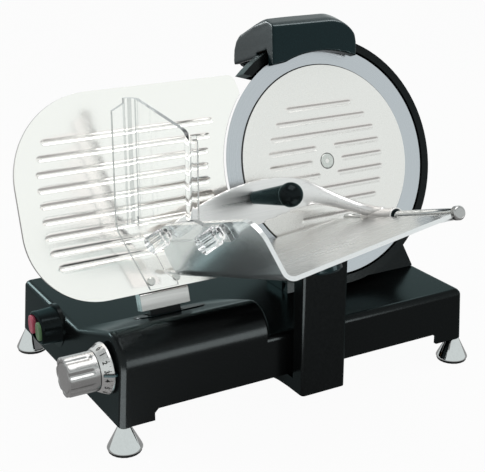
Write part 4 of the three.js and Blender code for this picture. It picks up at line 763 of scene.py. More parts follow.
def solid_copy(node: str, flatten: float = 0.4) -> bpy.types.Mesh:
    """Copies a node's solid as a welded mesh with its flat faces joined.

    Args:
        node: the node's name.
        flatten: faces within this many degrees are joined.

    Returns:
        The copy.
    """
    mesh = frame["nodes"][node].data.copy()
    mesh.materials.clear()
    form = bmesh.new()
    form.from_mesh(mesh)
    bmesh.ops.remove_doubles(form, verts=form.verts, dist=SOLID_WELD)
    bmesh.ops.dissolve_limit(
        form, angle_limit=math.radians(flatten), verts=form.verts, edges=form.edges)
    form.to_mesh(mesh)
    form.free()
    return mesh


@dataclass
class Copies:
    """Nodes whose solid shape is right: each gets its finish and broken edges."""

    finishes: dict[str, Finish]
    edges: dict[str, tuple[float, int]]
    plain_edge: tuple[float, int] = (0.3, 2)

    def build(self) -> None:
        """Makes every piece."""
        for node, finish in self.finishes.items():
            width, segments = self.edges.get(node, self.plain_edge)
            stand_in(node, softened(solid_copy(node), width, segments), finish)


@dataclass
class Feet:
    """Four chrome cone feet on rubber pads."""

    height: float = 24.0
    radius: float = 17.5
    rim_inset: float = 0.6
    rim_low: float = 0.9
    rim_high: float = 2.6
    neck: float = 6.2
    stud: float = 3.0
    stud_length: float = 10.0
    seat: float = 0.3
    ease: float = 1.2
    left: float = 3.5
    right: float = 404.8
    front: float = 7.0
    rear: float = 265.5
    segments: int = 72

    def build(self) -> None:
        """Makes the four feet."""
        base, inset = -self.height, self.radius - self.rim_inset
        cone = [
            (0.0, base), (inset, base), (self.radius, base + self.rim_low),
            (inset, base + self.rim_high), (self.neck, -self.seat), (self.stud, -self.seat),
            (self.stud, self.stud_length), (0.0, self.stud_length),
        ]
        for end, y in (("front", self.front), ("rear", self.rear)):
            for side, x in (("left", self.left), ("right", self.right)):
                seat = at(MACHINE, x, y, 0.0)
                foot = lathe("foot", eased(cone, self.ease), seat, self.segments)
                stand_in(f"foot_{end}_{side}", foot, BRIGHT_CHROME)


@dataclass
class PressedSheet:
    """A sheet with channels pressed into its face, on a grid that follows its outline."""

    face: float
    thickness: float
    depth: float
    rim: float
    half_width: float = 3.1
    edge_rows: int = 16
    half_rows: int = 7
    gap_rows: int = 3
    rim_segments: int = 3
    rim_angle: float = 60.0
    shade_angle: float = 50.0

    def columns(self, stops: Sequence[float], counts: Sequence[int]) -> list[float]:
        """Spaces columns between stops, closest near each stop.

        Args:
            stops: the row's stops from left to right.
            counts: columns between each pair of stops.

        Returns:
            The columns' places.
        """
        places = [stops[0]]
        for start, end, count in zip(stops, stops[1:], counts):
            for k in range(1, count + 1):
                share = 0.5 - 0.5 * math.cos(math.pi * k / count)
                places.append(start + (end - start) * share)
        return places

    def rows(self, low: float, high: float, channels: Sequence[float]) -> list[float]:
        """Spaces rows across the channels and out to the edges.

        Args:
            low: the sheet's lower edge.
            high: its upper edge.
            channels: the channels' heights from low to high.

        Returns:
            The rows' heights.
        """
        first, last = channels[0] - self.half_width, channels[-1] + self.half_width
        near = [1 - math.cos(QUARTER * k / self.edge_rows) for k in range(self.edge_rows)]
        across = [k / self.half_rows - 1 for k in range(2 * self.half_rows + 1)]
        places = [low + (first - low) * share for share in near]
        for height, following in zip(channels, [*channels[1:], None]):
            places += [height + self.half_width * share for share in across]
            if following is not None:
                start, end = height + self.half_width, following - self.half_width
                step = end - start
                places += [start + step * k / self.gap_rows for k in range(1, self.gap_rows)]
        return places + [high - (high - last) * share for share in reversed(near)]

    def sunk(self, x: float, y: float, channels: Sequence[Channel]) -> float:
        """Finds how deep the face lies at a point.

        Args:
            x: the point's place along the channels.
            y: its height.
            channels: each channel's ends and height.

        Returns:
            The depth below the plain face.
        """
        for left, right, height in channels:
            over = max(left + self.half_width - x, x - right + self.half_width, 0.0)
            off = math.hypot(y - height, over) / self.half_width
            if off < 1.0:
                return self.depth * (1.0 - off) * (1.0 + off * (1.0 - off))
        return 0.0

    def thicken(self, carrier: bpy.types.Object) -> None:
        """Adds the sheet's thickness and its rounded rim.

        Args:
            carrier: the object that carries the open face.
        """
        wall = carrier.modifiers.new("wall", "SOLIDIFY")
        wall.thickness = self.thickness * MM
        wall.offset = -1.0
        add_bevel(carrier, self.rim, self.rim_segments, self.rim_angle)

    def sheet(self, name: str, rows: Sequence[float], stops: Callable[[float], Sequence[float]],
              counts: Sequence[int], channels: Sequence[Channel]) -> bpy.types.Mesh:
        """Makes the sheet in the blade frame.

        Args:
            name: the mesh's name.
            rows: the rows' heights.
            stops: gives a row's stops at its height.
            counts: columns between each pair of stops.
            channels: each channel's ends and height.

        Returns:
            The closed sheet with a rounded rim.
        """
        points: list[Sequence[float]] = []
        for y in rows:
            for x in self.columns(stops(y), counts):
                points.append((x, y, self.face - self.sunk(x, y, channels)))
        across = sum(counts) + 1
        corners = (0, 1, across + 1, across)
        faces = [
            tuple(row * across + column + corner for corner in corners)
            for row in range(len(rows) - 1) for column in range(across - 1)
        ]
        open_face = mesh_from(name, points, faces, BLADE, closed=False, angle=self.rim_angle)
        made = evaluated(open_face, self.thicken)
        smooth(made, self.shade_angle)
        return made


@dataclass
class GaugePlate:
    """The plate that sets the slice, with its nine pressed channels."""

    left: float = -350.0
    top: float = 105.0
    bottom: float = -101.0
    face: float = -3.0
    thickness: float = 4.0
    rim: float = 0.7
    upper_round: float = 85.0
    lower_round: float = 75.0
    blade_edge: float = 126.3
    edge_angle: float = math.radians(138.0)
    corner: float = 6.0
    corner_back: float = 7.0
    corner_lean: float = 3.0
    depth: float = 1.3
    pitch: float = 15.25
    count: int = 9
    inset: float = 21.0
    blade_clear: float = 143.5
    clear_height: float = 80.0
    edge_clear: float = 4.0
    columns: tuple[int, ...] = (8, 32, 10)
    rim_share: float = 0.35

    def left_at(self, y: float) -> float:
        """Finds the plate's left edge.

        Args:
            y: the height.

        Returns:
            The edge's place there.
        """
        for round_off, start, sign in ((self.upper_round, self.top - self.upper_round, 1),
                                       (self.lower_round, self.bottom + self.lower_round, -1)):
            over = sign * (y - start)
            if over > 0:
                return self.left + round_off - math.sqrt(max(round_off ** 2 - over ** 2, 0.0))
        return self.left

    def right_at(self, y: float) -> float:
        """Finds the plate's right edge: an arc round the blade with small rounded corners.

        Args:
            y: the height.

        Returns:
            The edge's place there.
        """
        edge_x = self.blade_edge * math.cos(self.edge_angle)
        edge_y = self.blade_edge * math.sin(self.edge_angle)
        corner_x = edge_x - self.corner_back
        side_x = corner_x + self.corner_lean
        limit = self.top if y > 0 else -self.bottom
        reach = abs(y)
        if reach <= edge_y:
            return -math.sqrt(self.blade_edge ** 2 - y ** 2)
        if reach <= limit - self.corner:
            return edge_x + (side_x - edge_x) * (reach - edge_y) / (limit - self.corner - edge_y)
        s = math.sqrt(max(limit - reach, 0.0) / self.corner)
        end_x = corner_x - self.corner
        return s * s * side_x + 2 * s * (1 - s) * corner_x + (1 - s) ** 2 * end_x

    def ends_at(self, y: float) -> Point:
        """Returns where a channel at a height starts and ends."""
        right = -math.sqrt(self.blade_clear ** 2 - min(abs(y), self.clear_height) ** 2)
        return self.left_at(y) + self.inset, min(right, self.right_at(y) - self.edge_clear)

    def stops_at(self, y: float) -> tuple[float, ...]:
        """Returns the stops of the plate's columns at a height."""
        return self.left_at(y), *self.ends_at(y), self.right_at(y)

    def build(self) -> None:
        """Makes the plate, with its cut edge painted darker as painted shade."""
        pressed = PressedSheet(self.face, self.thickness, self.depth, self.rim)
        heights = spaced(self.count, self.pitch)
        rows = pressed.rows(self.bottom, self.top, heights)
        channels = [(*self.ends_at(y), y) for y in heights]
        mesh = pressed.sheet("gauge_plate", rows, self.stops_at, self.columns, channels)
        plate = stand_in("gauge_plate", mesh, SATIN_SILVER)
        out = (BLADE.to_3x3() @ Vector((0.0, 0.0, 1.0))).normalized()
        refinish(plate, [RIM_SHADE_SILVER], [
            int(abs(face.normal.dot(out)) < self.rim_share) for face in plate.data.polygons
        ])


@dataclass
class SlotLip:
    """The flat black lip round the slot that the gauge plate's slide runs in."""

    left: float = 53.0
    right: float = 131.0
    front: float = 70.0
    back: float = 101.0
    slot_left: float = 66.0
    slot_right: float = 102.6
    slot_front: float = 73.2
    slot_back: float = 98.0
    crest: Point = (94.5, 65.2)
    slope: float = math.radians(19.35)
    thickness: float = 1.2
    sunk: float = 0.6
    bevel: float = 0.6
    steps: int = 24

    def build(self) -> None:
        """Makes the lip on the slope behind the block."""
        half = 0.5 * (self.back - self.front)
        middle = 0.5 * (self.back + self.front)
        outer: list[Point] = []
        for end, start in ((self.right - half, -QUARTER), (self.left + half, QUARTER)):
            for k in range(self.steps + 1):
                turn = start + math.pi * k / self.steps
                outer.append((end + half * math.cos(turn), middle + half * math.sin(turn)))
        inner = [
            (min(max(x, self.slot_left), self.slot_right),
             min(max(y, self.slot_front), self.slot_back))
            for x, y in outer
        ]
        layers = (
            (-self.sunk, outer, 0.0), (0.5 * self.thickness, outer, 0.0),
            (self.thickness, outer, self.bevel), (self.thickness, inner, 0.0),
            (-self.sunk, inner, 0.0),
        )
        crest_y, crest_z = self.crest
        rise = 1.0 / math.cos(self.slope)
        points: list[Sequence[float]] = []
        for lift, ring, inset in layers:
            for x, y in ring:
                away = Vector((x - 0.5 * (self.left + self.right), y - middle))
                away = away.normalized() * inset
                x, y = x - away.x, y - away.y
                z = crest_z - (y - crest_y) * math.tan(self.slope) + lift * rise
                points.append((x, y, z))
        faces = ring_faces(len(layers), len(outer), closed=True)
        lip = mesh_from("slot_lip", points, faces, MACHINE)
        put("slot_lip", lip, BLACK_MOULDING, BODY_OF["base_casting"])


@dataclass
class BladeSet:
    """The blade, the cover over its middle and the cover's screw."""

    radius: float = 125.0
    bore: float = 20.0
    web_back: float = -12.0
    web_front: float = -8.0
    bevel_inner: float = 106.0
    blade_segments: int = 256
    blade_angle: float = 12.0
    cover_radius: float = 104.8
    cover_face: float = -1.0
    cover_thickness: float = 3.0
    cover_rim: float = 0.6
    cover_columns: tuple[int, ...] = (8, 24, 10, 24, 8)
    pole_share: float = 0.99985
    depth: float = 1.2
    pitch: float = 15.0
    count: int = 9
    channel_rim: float = 31.0
    channel_height: float = 63.0
    channel_share: float = 0.8
    hub_clear: float = 18.0
    joint_back: float = -3.6
    joint_front: float = -2.75
    gap: float = 0.05
    screw_radius: float = 8.0
    screw_proud: float = 0.45
    screw_length: float = 22.0
    screw_stud: float = 3.0
    screw_head: float = 2.2
    screw_edge: float = 0.35
    screw_joint: float = 0.75
    screw_joint_back: float = 2.0
    screw_joint_front: float = 0.36
    screw_segments: int = 96
    socket: float = 2.7
    socket_edge: float = 0.7
    # How deep the socket's rim, its walls' foot and the point of its floor lie.
    socket_depths: tuple[float, ...] = (0.25, 1.7, 2.0)

    def build(self) -> None:
        """Makes the blade, the cover and the screw."""
        self.blade()
        self.cover()
        self.screw()

    def blade(self) -> None:
        """Makes the ground ring of the blade, its web and its bore."""
        inner, outer = self.bevel_inner, self.radius
        # Back to the edge, then down the ground face to the web.
        profile = [
            (self.bore, self.web_back), (inner - 4.0, self.web_back), (outer - 6.0, -4.5),
            (outer, -0.4), (outer, 0.0), (outer - 2.4, -0.25), (inner, -2.6),
            (inner - 1.0, self.web_front), (self.bore, self.web_front),
        ]
        mesh = lathe("blade", profile, BLADE, self.blade_segments, True, self.blade_angle)
        stand_in("blade", mesh, GROUND_STEEL)

    def stops_at(self, y: float) -> tuple[float, ...]:
        """Finds the stops of the cover's columns.

        Args:
            y: the height.

        Returns:
            The stops there, from left to right.
        """
        half = math.sqrt(max(self.cover_radius ** 2 - y * y, 0.0))
        inner, height = self.cover_radius - self.channel_rim, min(abs(y), self.channel_height)
        reach = min(math.sqrt(inner ** 2 - height ** 2), self.channel_share * half)
        clear = min(self.hub_clear - 0.5 * min(abs(y), self.hub_clear), 0.5 * reach)
        return -half, -reach, -clear, clear, reach, half

    def cover(self) -> None:
        """Makes the round cover, its channels broken round the screw, and a painted shade ring."""
        pressed = PressedSheet(self.cover_face, self.cover_thickness, self.depth, self.cover_rim)
        heights = spaced(self.count, self.pitch)
        channels: list[Channel] = []
        for y in heights:
            _, start, hub_left, hub_right, end, _ = self.stops_at(y)
            if abs(y) < self.hub_clear:
                channels += [(start, hub_left, y), (hub_right, end, y)]
            else:
                channels.append((start, end, y))
        edge = self.cover_radius * self.pole_share
        rows = pressed.rows(-edge, edge, heights)
        mesh = pressed.sheet("blade_cover", rows, self.stops_at, self.cover_columns, channels)
        stand_in("blade_cover", mesh, COVER_SILVER)
        self.joint("cover_joint_painted_shade", (self.cover_radius + self.gap, self.bevel_inner - 2 * self.gap),
                   (self.joint_back, self.joint_front), self.blade_segments)

    def joint(self, name: str, radii: Point, heights: Point, segments: int) -> None:
        """Makes a black ring in a joint: painted shade in the gap.

        Args:
            name: the piece's name.
            radii: its inner and outer radius.
            heights: its back and its front.
            segments: facets round the axis.
        """
        ring = tube(*radii, *heights)
        put(name, lathe(name, ring, BLADE, segments, closed=True), BLACK_PRINT_AND_SHADE, "frame")

    def hexagon(self, turn: float) -> float:
        """Returns the radius of the screw's six-sided socket at a turn."""
        side = math.pi / 3
        return self.socket * math.cos(side / 2) / math.cos(turn % side - side / 2)

    def screw(self) -> None:
        """Makes the flat screw, its six-sided socket and a painted shade ring round its head."""
        face = self.cover_face + self.screw_proud
        rim, stud, edge = self.screw_radius, self.screw_stud, self.screw_edge
        tip, under = face - self.screw_length, face - self.screw_head
        rings = [0.0, stud, stud, rim, rim, rim - edge, self.socket + self.socket_edge,
                 self.hexagon, self.hexagon, 0.0]
        heights = [tip, tip, under, under, face - edge, face, face,
                   *(face - depth for depth in self.socket_depths)]
        mesh = turned("cover_screw", rings, heights, BLADE, self.screw_segments)
        stand_in("cover_screw", mesh, SCREW_STEEL)
        self.joint("cover_screw_joint_painted_shade", (rim + self.gap, rim + self.screw_joint),
                   (face - self.screw_joint_back, face - self.screw_joint_front),
                   self.screw_segments)


class TickRing:
    """A row of straight marks round a cone, made by a node tree."""

    inputs: dict[str, str] = {
        "Count": "NodeSocketInt", "First Angle": "NodeSocketFloat", "Step": "NodeSocketFloat",
        "Radius": "NodeSocketFloat", "Height": "NodeSocketFloat", "Slope": "NodeSocketFloat",
        "Size": "NodeSocketVector",
    }

    def __init__(self, finish: Finish) -> None:
        """Builds the tree.

        Args:
            finish: the marks' finish.
        """
        self.tree = bpy.data.node_groups.new("tick_ring", "GeometryNodeTree")
        self.sockets: dict[str, str] = {}
        for name, kind in self.inputs.items():
            socket = self.tree.interface.new_socket(name, in_out="INPUT", socket_type=kind)
            self.sockets[name] = socket.identifier
        self.tree.interface.new_socket(
            "Geometry", in_out="OUTPUT", socket_type="NodeSocketGeometry")
        nodes = NodeTree(self.tree)
        given = nodes.add("NodeGroupInput")
        bar = nodes.add("GeometryNodeMeshCube")
        place = nodes.add("ShaderNodeCombineXYZ")
        tilt = nodes.add("ShaderNodeCombineXYZ")
        moved = nodes.add("GeometryNodeTransform")
        line = nodes.add("GeometryNodeMeshLine", {"Offset": (0.0, 0.0, 0.0)})
        index = nodes.add("GeometryNodeInputIndex")
        turn = nodes.add("ShaderNodeMath", operation="MULTIPLY_ADD")
        spin = nodes.add("ShaderNodeCombineXYZ")
        spread = nodes.add("GeometryNodeInstanceOnPoints")
        solid = nodes.add("GeometryNodeRealizeInstances")
        paint = nodes.add("GeometryNodeSetMaterial", {"Material": finish.material()})
        output = nodes.add("NodeGroupOutput")
        for link in (
            (given, "Size", bar, "Size"),
            (given, "Radius", place, "X"),
            (given, "Height", place, "Z"),
            (given, "Slope", tilt, "Y"),
            (bar, "Mesh", moved, "Geometry"),
            (place, 0, moved, "Translation"),
            (tilt, 0, moved, "Rotation"),
            (given, "Count", line, "Count"),
            (index, 0, turn, 0),
            (given, "Step", turn, 1),
            (given, "First Angle", turn, 2),
            (turn, 0, spin, "Z"),
            (line, "Mesh", spread, "Points"),
            (moved, "Geometry", spread, "Instance"),
            (spin, 0, spread, "Rotation"),
            (spread, "Instances", solid, "Geometry"),
            (solid, "Geometry", paint, "Geometry"),
            (paint, "Geometry", output, "Geometry"),
        ):
            nodes.join(*link)

    def mesh(self, matrix: Matrix, values: dict[str, object]) -> bpy.types.Mesh:
        """Runs the tree.

        Args:
            matrix: the frame whose Z axis the marks stand round.
            values: the tree's inputs by name, in metres and radians.

        Returns:
            The marks as one plain mesh.
        """
        def add(carrier: bpy.types.Object) -> None:
            """Adds the tree with its inputs set.

            Args:
                carrier: the object that carries the marks.
            """
            row = carrier.modifiers.new("row", "NODES")
            row.node_group = self.tree
            for name, value in values.items():
                row[self.sockets[name]] = value

        made = evaluated(bpy.data.meshes.new("ticks"), add)
        made.transform(matrix)
        return made


@dataclass
class ThicknessKnob:
    """The ribbed grip, the numbered dial behind it and a white dot of painted highlight."""

    y: float = 33.0
    z: float = 50.5
    bore: float = 5.3
    dial_back: float = 3.0
    dial_rim: float = 5.2
    dial_front: float = 14.5
    dial_radius: float = 25.5
    dial_ease: float = 0.5
    dial_segments: int = 128
    neck_radius: float = 20.4
    step_angle: float = math.radians(22.0)
    three_angle: float = math.radians(17.0)
    last_number: int = 15
    # Step in numbers, length and width of the whole and of the half ticks.
    ticks: tuple[tuple[float, float, float], ...] = ((1.0, 2.2, 0.5), (0.5, 1.3, 0.35))
    tick_gap: float = 0.4
    tick_depth: float = 0.14
    numeral_size: float = 6.4
    numeral_bold: float = 0.16
    numeral_depth: float = 0.05
    numeral_proud: float = 0.12
    numeral_middle: float = 10.1
    grip_back: float = 14.8
    grip_length: float = 30.0
    grip_radius: float = 19.8
    grip_segments: int = 240
    grip_angle: float = 26.0
    flutes: int = 8
    flute_depth: float = 2.1
    flute_width: float = 0.62
    flute_phase: float = math.radians(-20.0)
    # The grip's end: radius of each ring, and how deep it lies.
    end: tuple[Point, ...] = ((15.6, 0.0), (15.2, 0.9), (14.6, 0.9), (14.2, 0.1), (0.0, 0.0))
    dot_angle: float = math.radians(24.0)
    dot_along: float = 2.6
    dot_sunk: float = 0.5
    dot_profile: tuple[Point, ...] = (
        (0.0, 0.0), (2.4, 0.0), (2.4, 0.55), (1.9, 0.75), (0.0, 0.85),
    )
    dot_segments: int = 40

    @property
    def seat(self) -> Matrix:
        """The knob's frame, with Z out of the base's left side."""
        return outwards(0.0, self.y, self.z)

    @property
    def slope(self) -> float:
        """The angle of the dial's cone."""
        return math.atan2(self.dial_radius - self.neck_radius, self.dial_front - self.dial_rim)

    def build(self) -> None:
        """Makes the dial, its marks, the grip and the dot."""
        self.dial()
        self.marks()
        self.grip()
        self.dot()

    def dial(self) -> None:
        """Makes the dial's cone."""
        profile = [
            (self.bore, self.dial_back), (self.dial_radius, self.dial_back),
            (self.dial_radius, self.dial_rim), (self.neck_radius, self.dial_front),
            (self.bore, self.dial_front),
        ]
        profile = eased(profile, self.dial_ease, closed=True)
        mesh = lathe("dial", profile, self.seat, self.dial_segments, closed=True)
        stand_in("thickness_dial", mesh, DIAL_SILVER)

    def angle_of(self, number: float) -> float:
        """Returns where a thickness stands on the dial, from the top towards the rear."""
        return self.three_angle + (3.0 - number) * self.step_angle - QUARTER

    def cone_radius(self, height: float) -> float:
        """Returns the dial's radius at a height."""
        return self.dial_radius - (height - self.dial_rim) * math.tan(self.slope)

    def marks(self) -> None:
        """Makes the numbers, and the whole and half ticks at the rim."""
        ring = TickRing(BLACK_PRINT_AND_SHADE)
        meshes: list[bpy.types.Mesh] = []
        for step, length, width in self.ticks:
            height = self.dial_rim + self.tick_gap + 0.5 * length
            meshes.append(ring.mesh(self.seat, {
                "Count": int(self.last_number / step) + 1,
                "First Angle": self.angle_of(0.0),
                "Step": -step * self.step_angle,
                "Radius": self.cone_radius(height) * MM,
                "Height": height * MM,
                "Slope": -self.slope,
                "Size": (self.tick_depth * MM, width * MM, length * MM),
            }))
        for number in range(self.last_number + 1):
            meshes.append(self.numeral(number))
        put("dial_marks", joined("dial_marks", meshes), BLACK_PRINT_AND_SHADE, "thickness_control")

    def numeral(self, number: int) -> bpy.types.Mesh:
        """Wraps a number round the dial's cone.

        Args:
            number: the number.

        Returns:
            Its mesh in the model's frame.
        """
        writing = bpy.data.curves.new("numeral", "FONT")
        writing.body = str(number)
        writing.size = self.numeral_size
        writing.align_x = "CENTER"
        writing.align_y = "CENTER"
        writing.extrude = self.numeral_depth
        writing.offset = self.numeral_bold
        mesh = evaluated(writing)
        for vertex in mesh.vertices:
            right, up, proud = vertex.co
            height = self.numeral_middle - up * math.cos(self.slope)
            reach = self.cone_radius(height) + self.numeral_proud + proud
            angle = self.angle_of(number) - right / self.cone_radius(self.numeral_middle)
            place = Vector((reach * math.cos(angle), reach * math.sin(angle), height))
            vertex.co = self.seat @ (place * MM)
        return mesh

    def grip(self) -> None:
        """Makes the grip, with round-ended flutes and a stepped end."""
        back, long = self.grip_back, self.grip_length
        # How far along each ring stands, how far in it is, and its share of the flutes' depth.
        shares = (
            (0.0, 0.7, 0.0), (0.4, 0.0, 0.0), (3.2, 0.0, 0.0), (3.8, 0.0, 0.12), (4.6, 0.0, 0.38),
            (5.6, 0.0, 0.66), (6.8, 0.0, 0.87), (8.2, 0.0, 0.98), (9.5, 0.0, 1.0),
            (20.0, 0.0, 1.0), (long - 1.4, 0.0, 1.0), (long - 0.5, 0.35, 1.0), (long, 1.3, 1.0),
        )
        phase = self.flute_phase - QUARTER
        rings: list[Ring] = [0.0, self.bore]
        heights = [back, back]
        for along, inset, share in shares:
            rings.append(fluted(self.grip_radius - inset, share * self.flute_depth, self.flutes,
                                phase, self.flute_width))
            heights.append(back + along)
        rings += [ring for ring, _ in self.end]
        heights += [back + long - sunk for _, sunk in self.end]
        mesh = turned("grip", rings, heights, self.seat, self.grip_segments,
                      angle=self.grip_angle)
        stand_in("thickness_knob", mesh, KNOB_SILVER)

    def dot(self) -> None:
        """Makes the white dot on the grip beside the dial: a painted highlight at a flute's end."""
        side = self.seat @ Matrix.Rotation(self.dot_angle - QUARTER, 4, "Z")
        place = at(side, self.grip_radius - self.dot_sunk, 0.0, self.grip_back + self.dot_along)
        place = place @ Matrix.Rotation(QUARTER, 4, "Y")
        mesh = lathe("flute_painted_highlight", self.dot_profile, place, self.dot_segments)
        put("flute_painted_highlight", mesh, WHITE_HIGHLIGHT, "thickness_control")


@dataclass
class SwitchBox:
    """The switch's oval housing, sunk round its two crowned buttons."""

    y: float = 168.0
    z: float = 43.0
    pad: float = 2.4
    tall: float = 15.8
    wide: float = 20.8
    flare: float = 1.7
    flare_step: float = 0.6
    flare_height: float = 1.2
    swell: float = 0.5
    length: float = 21.0
    soft: float = 2.6
    soft_steps: int = 8
    lip: float = 0.3
    lip_drop: float = 0.1
    sunk: float = 1.9
    power: float = 2.6
    housing_segments: int = 96
    button_segments: int = 72
    shade_angle: float = 40.0
    # The crown's rings: share of the button's outline, and depth below its highest line.
    crown: tuple[Point, ...] = (
        (1.0, 1.4), (0.97, 0.6), (0.9, 0.2), (0.72, 0.0), (0.62, 0.25), (0.3, 0.5), (0.0, 0.55),
    )

    def build(self) -> None:
        """Makes the housing and both buttons."""
        self.housing()
        self.button("start_button", GREEN_MOULDING)
        self.button("stop_button", RED_MOULDING)

    def oval(self, tall: float, wide: float) -> Rule:
        """Gives an oval.

        Args:
            tall: half the oval's height.
            wide: half its width.

        Returns:
            The rule from turn, counted from upright, to radius.
        """
        def radius(turn: float) -> float:
            """Gives the oval's radius.

            Args:
                turn: the angle from upright.

            Returns:
                The radius there.
            """
            up = (abs(math.cos(turn)) / tall) ** self.power
            across = (abs(math.sin(turn)) / wide) ** self.power
            return (up + across) ** (-1.0 / self.power)

        return radius

    def housing(self) -> None:
        """Makes the oval housing: a flared foot, a soft rim and a sunk face."""
        long, soft, swell = self.length, self.soft, self.swell
        steps = [(self.flare, 0.0), (self.flare - self.flare_step, self.flare_height),
                 (swell, long - soft)]
        for k in range(1, self.soft_steps + 1):
            turn = QUARTER * k / self.soft_steps
            steps.append((swell - soft * (1 - math.cos(turn)),
                          long - soft * (1 - math.sin(turn))))
        steps += [(self.lip - soft, long - self.lip_drop), (-soft, long - self.sunk)]
        rings = [0.0, *(self.oval(self.tall + grow, self.wide + grow) for grow, _ in steps), 0.0]
        heights = [0.0, *(height for _, height in steps), long - self.sunk]
        seat = outwards(-self.pad, self.y, self.z)
        mesh = turned("switch_housing", rings, heights, seat, self.housing_segments,
                      angle=self.shade_angle)
        stand_in("switch_housing", mesh, DEEP_BLACK)

    def button(self, node: str, finish: Finish) -> None:
        """Makes one crowned oval button in the box of its solid.

        Args:
            node: the button's node.
            finish: the button's finish.
        """
        low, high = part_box(node)
        back = (Vector(low) + Vector(high)) * 0.5
        back.x = high[0]
        seat = Matrix.Translation(back) @ Matrix.Rotation(-QUARTER, 4, "Y")
        reach, wide, tall = ((end - start) / MM for start, end in zip(low, high))
        rings: list[Ring] = [0.0, self.oval(0.5 * tall, 0.5 * wide)]
        heights = [0.0, 0.0]
        for share, sunk in self.crown:
            rings.append(self.oval(0.5 * tall * share, 0.5 * wide * share) if share else 0.0)
            heights.append(reach - sunk)
        mesh = turned(node, rings, heights, seat, self.button_segments, angle=self.shade_angle)
        stand_in(node, mesh, finish)


class TrayFace(IntEnum):
    """The places of the tray's finishes."""

    FLOOR = 0
    WALL = 1
    EDGE = 2


@dataclass
class Tray:
    """The bent tray: brushed floor, smooth wall with a painted reflection, painted bright edges."""

    edge: float = 1.0
    edge_share: float = 0.75
    wall_share: float = 0.35

    def build(self) -> None:
        """Makes the tray, with painted reflection on its wall and painted highlight on its edges."""
        tray = stand_in("tray", softened(solid_copy("tray"), self.edge), BRUSHED_SILVER)
        turn = TRAY.to_3x3().inverted()
        kinds = [int(self.kind_of(turn @ face.normal)) for face in tray.data.polygons]
        # The wall's finish paints a reflection and the edges' finish paints a highlight.
        refinish(tray, [ROLLED_SILVER_AND_REFLECTION, EDGE_HIGHLIGHT_SILVER], kinds)

    def kind_of(self, normal: Vector) -> TrayFace:
        """Tells the tray's faces apart.

        Args:
            normal: a face's normal in the tray's frame.

        Returns:
            The face's kind.
        """
        if abs(normal.z) > self.edge_share:
            return TrayFace.EDGE
        return TrayFace.WALL if normal.x < -self.wall_share else TrayFace.FLOOR


@dataclass
class TrayRod:
    """The rod along the tray's edge, its cap and the black bush of the pusher."""

    x: float = 6.0
    y: float = -64.5
    radius: float = 5.0
    rear: float = 12.0
    front: float = 196.0
    rod_ease: float = 0.4
    cap_gap: float = 0.3
    # The cap's profile: radius, and distance from its back.
    cap: tuple[Point, ...] = (
        (0.0, 0.0), (7.0, 0.0), (7.0, 5.4), (6.1, 6.6), (5.2, 7.0), (5.0, 6.7), (0.0, 7.3),
    )
    cap_ease: float = 0.5
    bush_inner: float = 5.3
    bush_outer: float = 6.5
    bush_rear: float = 50.0
    bush_front: float = 103.5
    segments: int = 64

    def build(self) -> None:
        """Makes the rod, the cap and the bush."""
        rod = tube(0.0, self.radius, self.rear, self.front)
        cap = [(radius, self.front + self.cap_gap + along) for radius, along in self.cap]
        bush = tube(self.bush_inner, self.bush_outer, self.bush_rear, self.bush_front)
        axis = at(BLADE, self.x, self.y, 0.0)
        for node, profile, closed, finish in (
            ("pusher_rod", eased(rod, self.rod_ease), False, BRIGHT_CHROME),
            ("rod_cap", eased(cap, self.cap_ease), False, KNOB_SILVER),
            ("pusher_bush", bush, True, BLACK_MOULDING),
        ):
            stand_in(node, lathe(node, profile, axis, self.segments, closed), finish)


# The leaf's outline: four points of each curve, in shares of its length and height.
LEAF_CURVES = (
    ((1.0, 0.586), (0.792, 0.261), (0.596, 0.009), (0.343, 0.0)),
    ((0.343, 0.0), (0.157, 0.0), (0.079, 0.117), (0.0, 0.297)),
    ((0.0, 0.297), (0.0, 0.41), (0.0, 0.52), (0.0, 0.64)),
    ((0.0, 0.64), (0.146, 0.622), (0.343, 0.784), (0.539, 0.892)),
    ((0.539, 0.892), (0.736, 1.0), (0.904, 0.946), (0.989, 0.694)),
    ((0.989, 0.694), (0.992, 0.66), (0.996, 0.62), (1.0, 0.586)),
)
# The arm's sections: shares of its span along X, Y and Z, the X and Z of the line across it,
# and half its height and half its width in radii of the hub.
ARM_SECTIONS = (
    (0.0, 0.0, 0.0, 0.0, 1.0, 1.76, 0.21), (0.25, 0.11, 0.032, -0.25, 1.0, 1.47, 0.35),
    (0.5, 0.33, 0.145, -0.6, 1.0, 1.12, 0.49), (0.72, 0.575, 0.32, -0.8, 0.8, 0.88, 0.59),
    (0.89, 0.795, 0.55, -1.0, 0.5, 0.765, 0.635), (0.97, 0.93, 0.775, -1.0, 0.2, 0.82, 0.66),
    (1.0, 1.0, 1.0, -1.0, 0.0, 0.894, 0.73),
)


